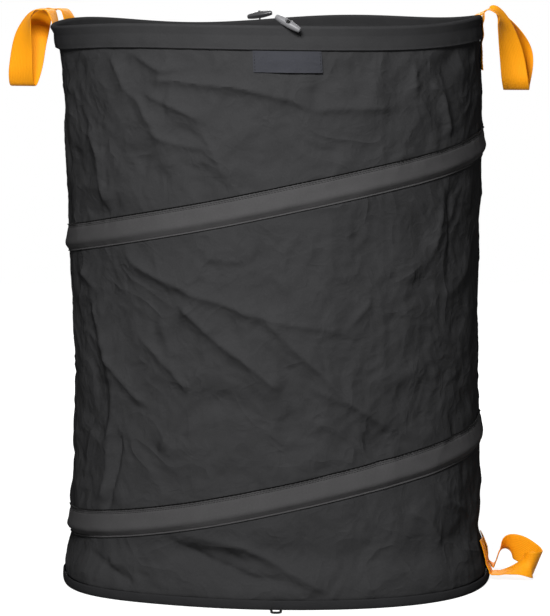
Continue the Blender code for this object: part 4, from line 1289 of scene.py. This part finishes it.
def build_strap(handle):
    """One strap: a sewn end, the loop and the other sewn end."""
    rows = tail_rows(handle, -1) + loop_rows(handle)[1:-1] + tail_rows(handle, 1)[::-1]
    rows, length = resample(smooth_rows(rows, 6), STRAP_STEP)
    rings, sides, faces = strap_rings(rows)
    piece = loft(handle.name + "_strap", rings, WEBBING, smooth_angle=70)
    nodes = [handle.name + "_" + part for part in ("handle", "tail_a", "tail_b")]
    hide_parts(*nodes)
    held = "base" if handle.name == "bottom" else "rim"
    root = handle_root(handle)
    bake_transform(piece)
    build_tack(handle, held, rows, sides, faces)


def build_tack(handle, held, rows, sides, faces):
    """Boxes of stitches with a cross in each, through the sewn ends."""
    lines = []
    length = BASE_TACK_LENGTH if handle.name == "bottom" else TOP_TACK_LENGTH
    count = int(length / STRAP_STEP)
    for tail in (slice(2, 2 + count), slice(-3 - count, -2)):
        places, side, face = rows[tail, :3], sides[tail], faces[tail]
        outside = np.sign((face * places * [1, 1, 0]).sum(axis=1))[:, None]
        face = face * outside
        top = places + face * STRAP_THICKNESS / 2
        half = STRAP_WIDTH / 2 - TACK_MARGIN
        run = np.linspace(-1, 1, len(top))[:, None]
        lines += [(top + side * half, face), (top - side * half, face)]
        lines += [(top + side * half * run, face), (top - side * half * run, face)]
        for end in (0, -1):
            over = np.linspace(-half, half, 12)[:, None]
            lines.append((top[end] + side[end] * over, np.repeat(face[end][None], 12, axis=0)))
    threads = dashes(handle.name + "_tack", lines, ORANGE_THREAD)
    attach(threads, held)


# Toggles, at the CAD model's places


TOGGLE_LENGTH = 0.036
TOGGLE_RADIUS = 0.005
TOGGLE_END_RADIUS = 0.0032
CORD_RADIUS = 0.0013
CORD_STUB = 0.0012
# The bar's hole and the seat of the knot in it, as (place along the hole, radius)
TOGGLE_HOLE = ((-0.008, CORD_RADIUS + 0.0003), (0.008, CORD_RADIUS + 0.0003))
TOGGLE_SEAT = ((0.0038, 0.0030), (0.0046, 0.0040), (0.008, 0.0048))
TOGGLE_END_EASE = 0.0012
KNOT_SINK = 0.0021
KNOT_STEPS = 48
KNOT_TURNS = 1.5
KNOT_RING = 0.0013
KNOT_SWAY = 0.0004
KNOT_LIFT = 0.0014
KNOT_RISE = 0.0010
TOGGLE_CORD_RADIUS = 0.0011
Toggle = namedtuple("Toggle", "name azimuth cord_pitch bar_lean loop_azimuth")
TOGGLES = (Toggle("front", -84.6, 36.0, -36.0, -90.0), Toggle("rear", 92.0, 60.0, -20.0, 90.0))


def toggle_frame(toggle):
    rim = vector_on_bag(toggle.azimuth, TOP_HOOP_HEIGHT, -WALL_THICKNESS / 2)
    pitch = radians(toggle.cord_pitch)
    way = outward(toggle.azimuth) * cos(pitch) + Vector((0, 0, sin(pitch)))
    bar = Matrix.Rotation(radians(toggle.bar_lean), 3, way) @ across(toggle.azimuth)
    return rim + way * (ROLL_RADIUS + 0.0003 + CORD_RADIUS), way, bar


def revolve(name, centre, axis, profile, finish, sides=32):
    one = axis.orthogonal().normalized()
    two = axis.cross(one)
    rings = []
    for place, radius in profile:
        spins = [2 * pi * k / sides for k in range(sides)]
        rings.append([tuple(centre + axis * place + (one * cos(s) + two * sin(s)) * radius) for s in spins])
    return loft(name, rings, finish)


def build_toggle(toggle, finish):
    held, way, bar = toggle_frame(toggle)
    centre = held + way * (CORD_STUB + TOGGLE_RADIUS)
    half, swell = TOGGLE_LENGTH / 2, TOGGLE_RADIUS - TOGGLE_END_RADIUS
    ease = TOGGLE_END_EASE
    profile = []
    for turn in (pi / 2 * k / 6 for k in range(7)):
        profile.append((-half + ease * (1 - cos(turn)), TOGGLE_END_RADIUS - ease * (1 - sin(turn))))
    for k in range(1, 32):
        share = 2 * k / 32 - 1
        profile.append((share * (half - ease), TOGGLE_END_RADIUS + swell * cos(pi / 2 * share) ** 0.8))
    profile += [(-place, radius) for place, radius in profile[6::-1]]
    piece = revolve(toggle.name + "_bar", centre, bar, profile, finish, 40)
    cutter = revolve(toggle.name + "_bar_hole", centre, way, TOGGLE_HOLE, finish)
    seat = revolve(toggle.name + "_bar_seat", centre, way, TOGGLE_SEAT, finish)
    for tool in (cutter, seat):
        apply_cut(piece, tool)
    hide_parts(toggle.name + "_toggle")
    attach(piece, toggle.name + "_toggle")
    build_toggle_cord(toggle, held, way)


def apply_cut(piece, tool):
    change = piece.modifiers.new("cut", "BOOLEAN")
    change.operation = "DIFFERENCE"
    change.solver = "EXACT"
    change.object = tool
    graph = bpy.context.evaluated_depsgraph_get()
    cut_mesh = bpy.data.meshes.new_from_object(piece.evaluated_get(graph))
    piece.modifiers.clear()
    piece.data = cut_mesh
    bpy.data.objects.remove(tool)


def tube(name, places, radius, finish, sides=12):
    """A round tube along places, with a radius or one for each."""
    places = np.asarray(places, float)
    radii = np.broadcast_to(radius, len(places))
    ways = unit(np.gradient(places, axis=0))
    side = np.cross(ways[0], (0.31, 0.22, 0.92))
    rings = []
    for place, way, size in zip(places, ways, radii):
        side = side - way * (side @ way)
        side = side / np.linalg.norm(side)
        other = np.cross(way, side)
        spins = [2 * pi * k / sides for k in range(sides)]
        rings.append([place + (side * cos(s) + other * sin(s)) * size for s in spins])
    return loft(name, rings, finish)


def build_toggle_cord(toggle, held, way):
    """A doubled cord from the rim through the bar, ended in an overhand knot."""
    seat = CORD_STUB + 2 * TOGGLE_RADIUS - KNOT_SINK
    straight = [held + way * s for s in np.linspace(-0.0013, seat, 8)]
    one = way.orthogonal().normalized()
    two = way.cross(one)
    knot = []
    for k in range(KNOT_STEPS + 1):
        turn = 2 * pi * k / KNOT_STEPS * KNOT_TURNS
        ring = KNOT_RING + KNOT_SWAY * cos(3 * turn)
        place = (one * cos(2 * turn) + two * sin(2 * turn)) * ring
        knot.append(held + way * (seat + KNOT_LIFT + KNOT_RISE * sin(3 * turn)) + place)
    blend_in = [straight[-1].lerp(knot[0], s) for s in (0.35, 0.7)]
    course = [tuple(place) for place in straight + blend_in + knot]
    piece = tube(toggle.name + "_cord", course, TOGGLE_CORD_RADIUS, CORD)
    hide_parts(toggle.name + "_toggle_cord")
    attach(piece, toggle.name + "_toggle_cord")


# Elastic loops, along the CAD model's route


LOOP_REACH = 0.024
LOOP_SPREAD = 0.012
LOOP_CORD_RADIUS = 0.0015
LOOP_ROOT_STAND = 0.0094
LOOP_ROOT_HEIGHT = 0.0018


def loop_root(azimuth):
    return vector_on_bag(azimuth, 0, LOOP_ROOT_STAND) + Vector((0, 0, LOOP_ROOT_HEIGHT))


def build_loop(name, azimuth):
    root, out, along = loop_root(azimuth), outward(azimuth), across(azimuth)
    half = LOOP_SPREAD / 2
    straight = LOOP_REACH - half
    line = [(-0.0015, -half), (0.006, -half - 0.0004), (0.012, -half + 0.0002), (straight, -half)]
    bend = [(straight + half * cos(s), half * sin(s)) for s in np.linspace(-pi / 2, pi / 2, 15)[1:-1]]
    line += bend + [(reach, -side) for reach, side in line[::-1]]
    rows = smooth_rows([root + out * reach + along * side for reach, side in line], 3)
    places = [tuple(p) for p in rows]
    piece = tube(name + "_cord_loop", places, LOOP_CORD_RADIUS, CORD)
    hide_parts(name + "_loop")
    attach(piece, name + "_loop")


# The wire and the caps on its ends, carried over from the CAD model


def dress(piece, finish):
    piece.data.materials.clear()
    piece.data.materials.append(finish)


def build_wire():
    """The spring wire, as in the CAD model, held on the base's body."""
    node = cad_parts["coil_spring"]
    mesh = node.data.copy()
    mesh.transform(node.matrix_world)
    piece = bpy.data.objects.new("spring_wire", mesh)
    bpy.context.scene.collection.objects.link(piece)
    dress(piece, STEEL)
    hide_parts("coil_spring")
    flatten(piece)


def dress_nodes():
    build_wire()
    for name in ("coil_end_cap_top", "coil_end_cap_base"):
        dress(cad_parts[name], BLACK_PLASTIC)


# Light, floor and camera


FLOOR_SIZE = 8.0
# How much of the white background lights the bag
WORLD_LIGHT = 0.10


def background_share(tree):
    """1 for rays that show the background: from the camera, off gloss and through glass."""
    path = tree.nodes.new("ShaderNodeLightPath").outputs
    seen = math_node(tree, "MAXIMUM", path["Is Camera Ray"], path["Is Glossy Ray"])
    return math_node(tree, "MAXIMUM", seen, path["Is Transmission Ray"])


def build_floor():
    mesh = bpy.data.meshes.new("floor")
    half = FLOOR_SIZE / 2
    corners = [(-half, -half, 0), (half, -half, 0), (half, half, 0), (-half, half, 0)]
    mesh.from_pydata(corners, [], [(0, 1, 2, 3)])
    made = bpy.data.materials.new("floor_white")
    made.use_nodes = True
    tree = made.node_tree
    surface = tree.nodes["Principled BSDF"]
    surface.inputs["Base Color"].default_value = (0.30, 0.30, 0.30, 1)
    surface.inputs["Roughness"].default_value = 0.9
    surface.inputs["Specular IOR Level"].default_value = 0.0
    surface.inputs["Emission Color"].default_value = (1, 1, 1, 1)
    away = tree.nodes.new("ShaderNodeVectorMath")
    away.operation = "LENGTH"
    tree.links.new(texture_place(tree, "Object"), away.inputs[0])
    fade = tree.nodes.new("ShaderNodeMapRange")
    fade.interpolation_type = "SMOOTHSTEP"
    for name, value in (("From Min", 0.30), ("From Max", 1.1), ("To Min", 0.88), ("To Max", 1.0)):
        fade.inputs[name].default_value = value
    tree.links.new(away.outputs["Value"], fade.inputs["Value"])
    glow = math_node(tree, "MULTIPLY", background_share(tree), fade.outputs["Result"])
    tree.links.new(glow, surface.inputs["Emission Strength"])
    mesh.materials.append(made)
    floor = bpy.data.objects.new("floor", mesh)
    bpy.context.scene.collection.objects.link(floor)


def build_world():
    world = bpy.data.worlds.new("studio")
    bpy.context.scene.world = world
    world.use_nodes = True
    tree = world.node_tree
    light = tree.nodes["Background"]
    light.inputs["Color"].default_value = (1, 1, 1, 1)
    shown = math_node(tree, "MULTIPLY", background_share(tree), 1 - WORLD_LIGHT)
    strength = math_node(tree, "ADD", shown, WORLD_LIGHT)
    tree.links.new(strength, light.inputs["Strength"])


def area_light(name, place, target, size, power):
    lamp = bpy.data.lights.new(name, "AREA")
    lamp.shape = "RECTANGLE"
    lamp.size, lamp.size_y = size
    lamp.energy = power
    made = bpy.data.objects.new(name, lamp)
    made.location = place
    made.rotation_euler = (Vector(target) - Vector(place)).to_track_quat("-Z", "Y").to_euler()
    bpy.context.scene.collection.objects.link(made)


def build_lights():
    area_light("key", (-0.28, -1.9, 1.5), (0, 0, 0.35), (0.6, 0.4), 62)
    area_light("overhead", (0.1, -0.2, 3.2), (0, 0, 0.3), (1.6, 1.6), 24)
    area_light("rear fill", (0.1, 2.6, 1.3), (0, 0, 0.35), (1.2, 0.8), 34)


def build_camera():
    data = bpy.data.cameras.new("camera")
    data.sensor_width = SENSOR_SIDE
    data.lens = SENSOR_SIDE * FOCAL_PIXELS / PHOTO_HEIGHT
    camera = bpy.data.objects.new("camera", data)
    camera.location = camera_place()
    camera.rotation_euler = (radians(90 - CAMERA_PITCH), 0, 0)
    bpy.context.scene.collection.objects.link(camera)
    bpy.context.scene.camera = camera


def main():
    build_camera()
    for toggle in TOGGLES:
        build_loop(toggle.name, toggle.loop_azimuth)
    build_world()
    build_floor()
    build_lights()
    build_wall()
    build_seam()
    build_base()
    build_base_band()
    build_spiral()
    build_hem()
    build_label()
    for handle in HANDLES:
        build_strap(handle)
    build_toggle(TOGGLES[0], GREY_PLASTIC)
    build_toggle(TOGGLES[1], BLACK_PLASTIC)
    dress_nodes()
    bpy.context.scene.view_settings.view_transform = "Standard"


main()
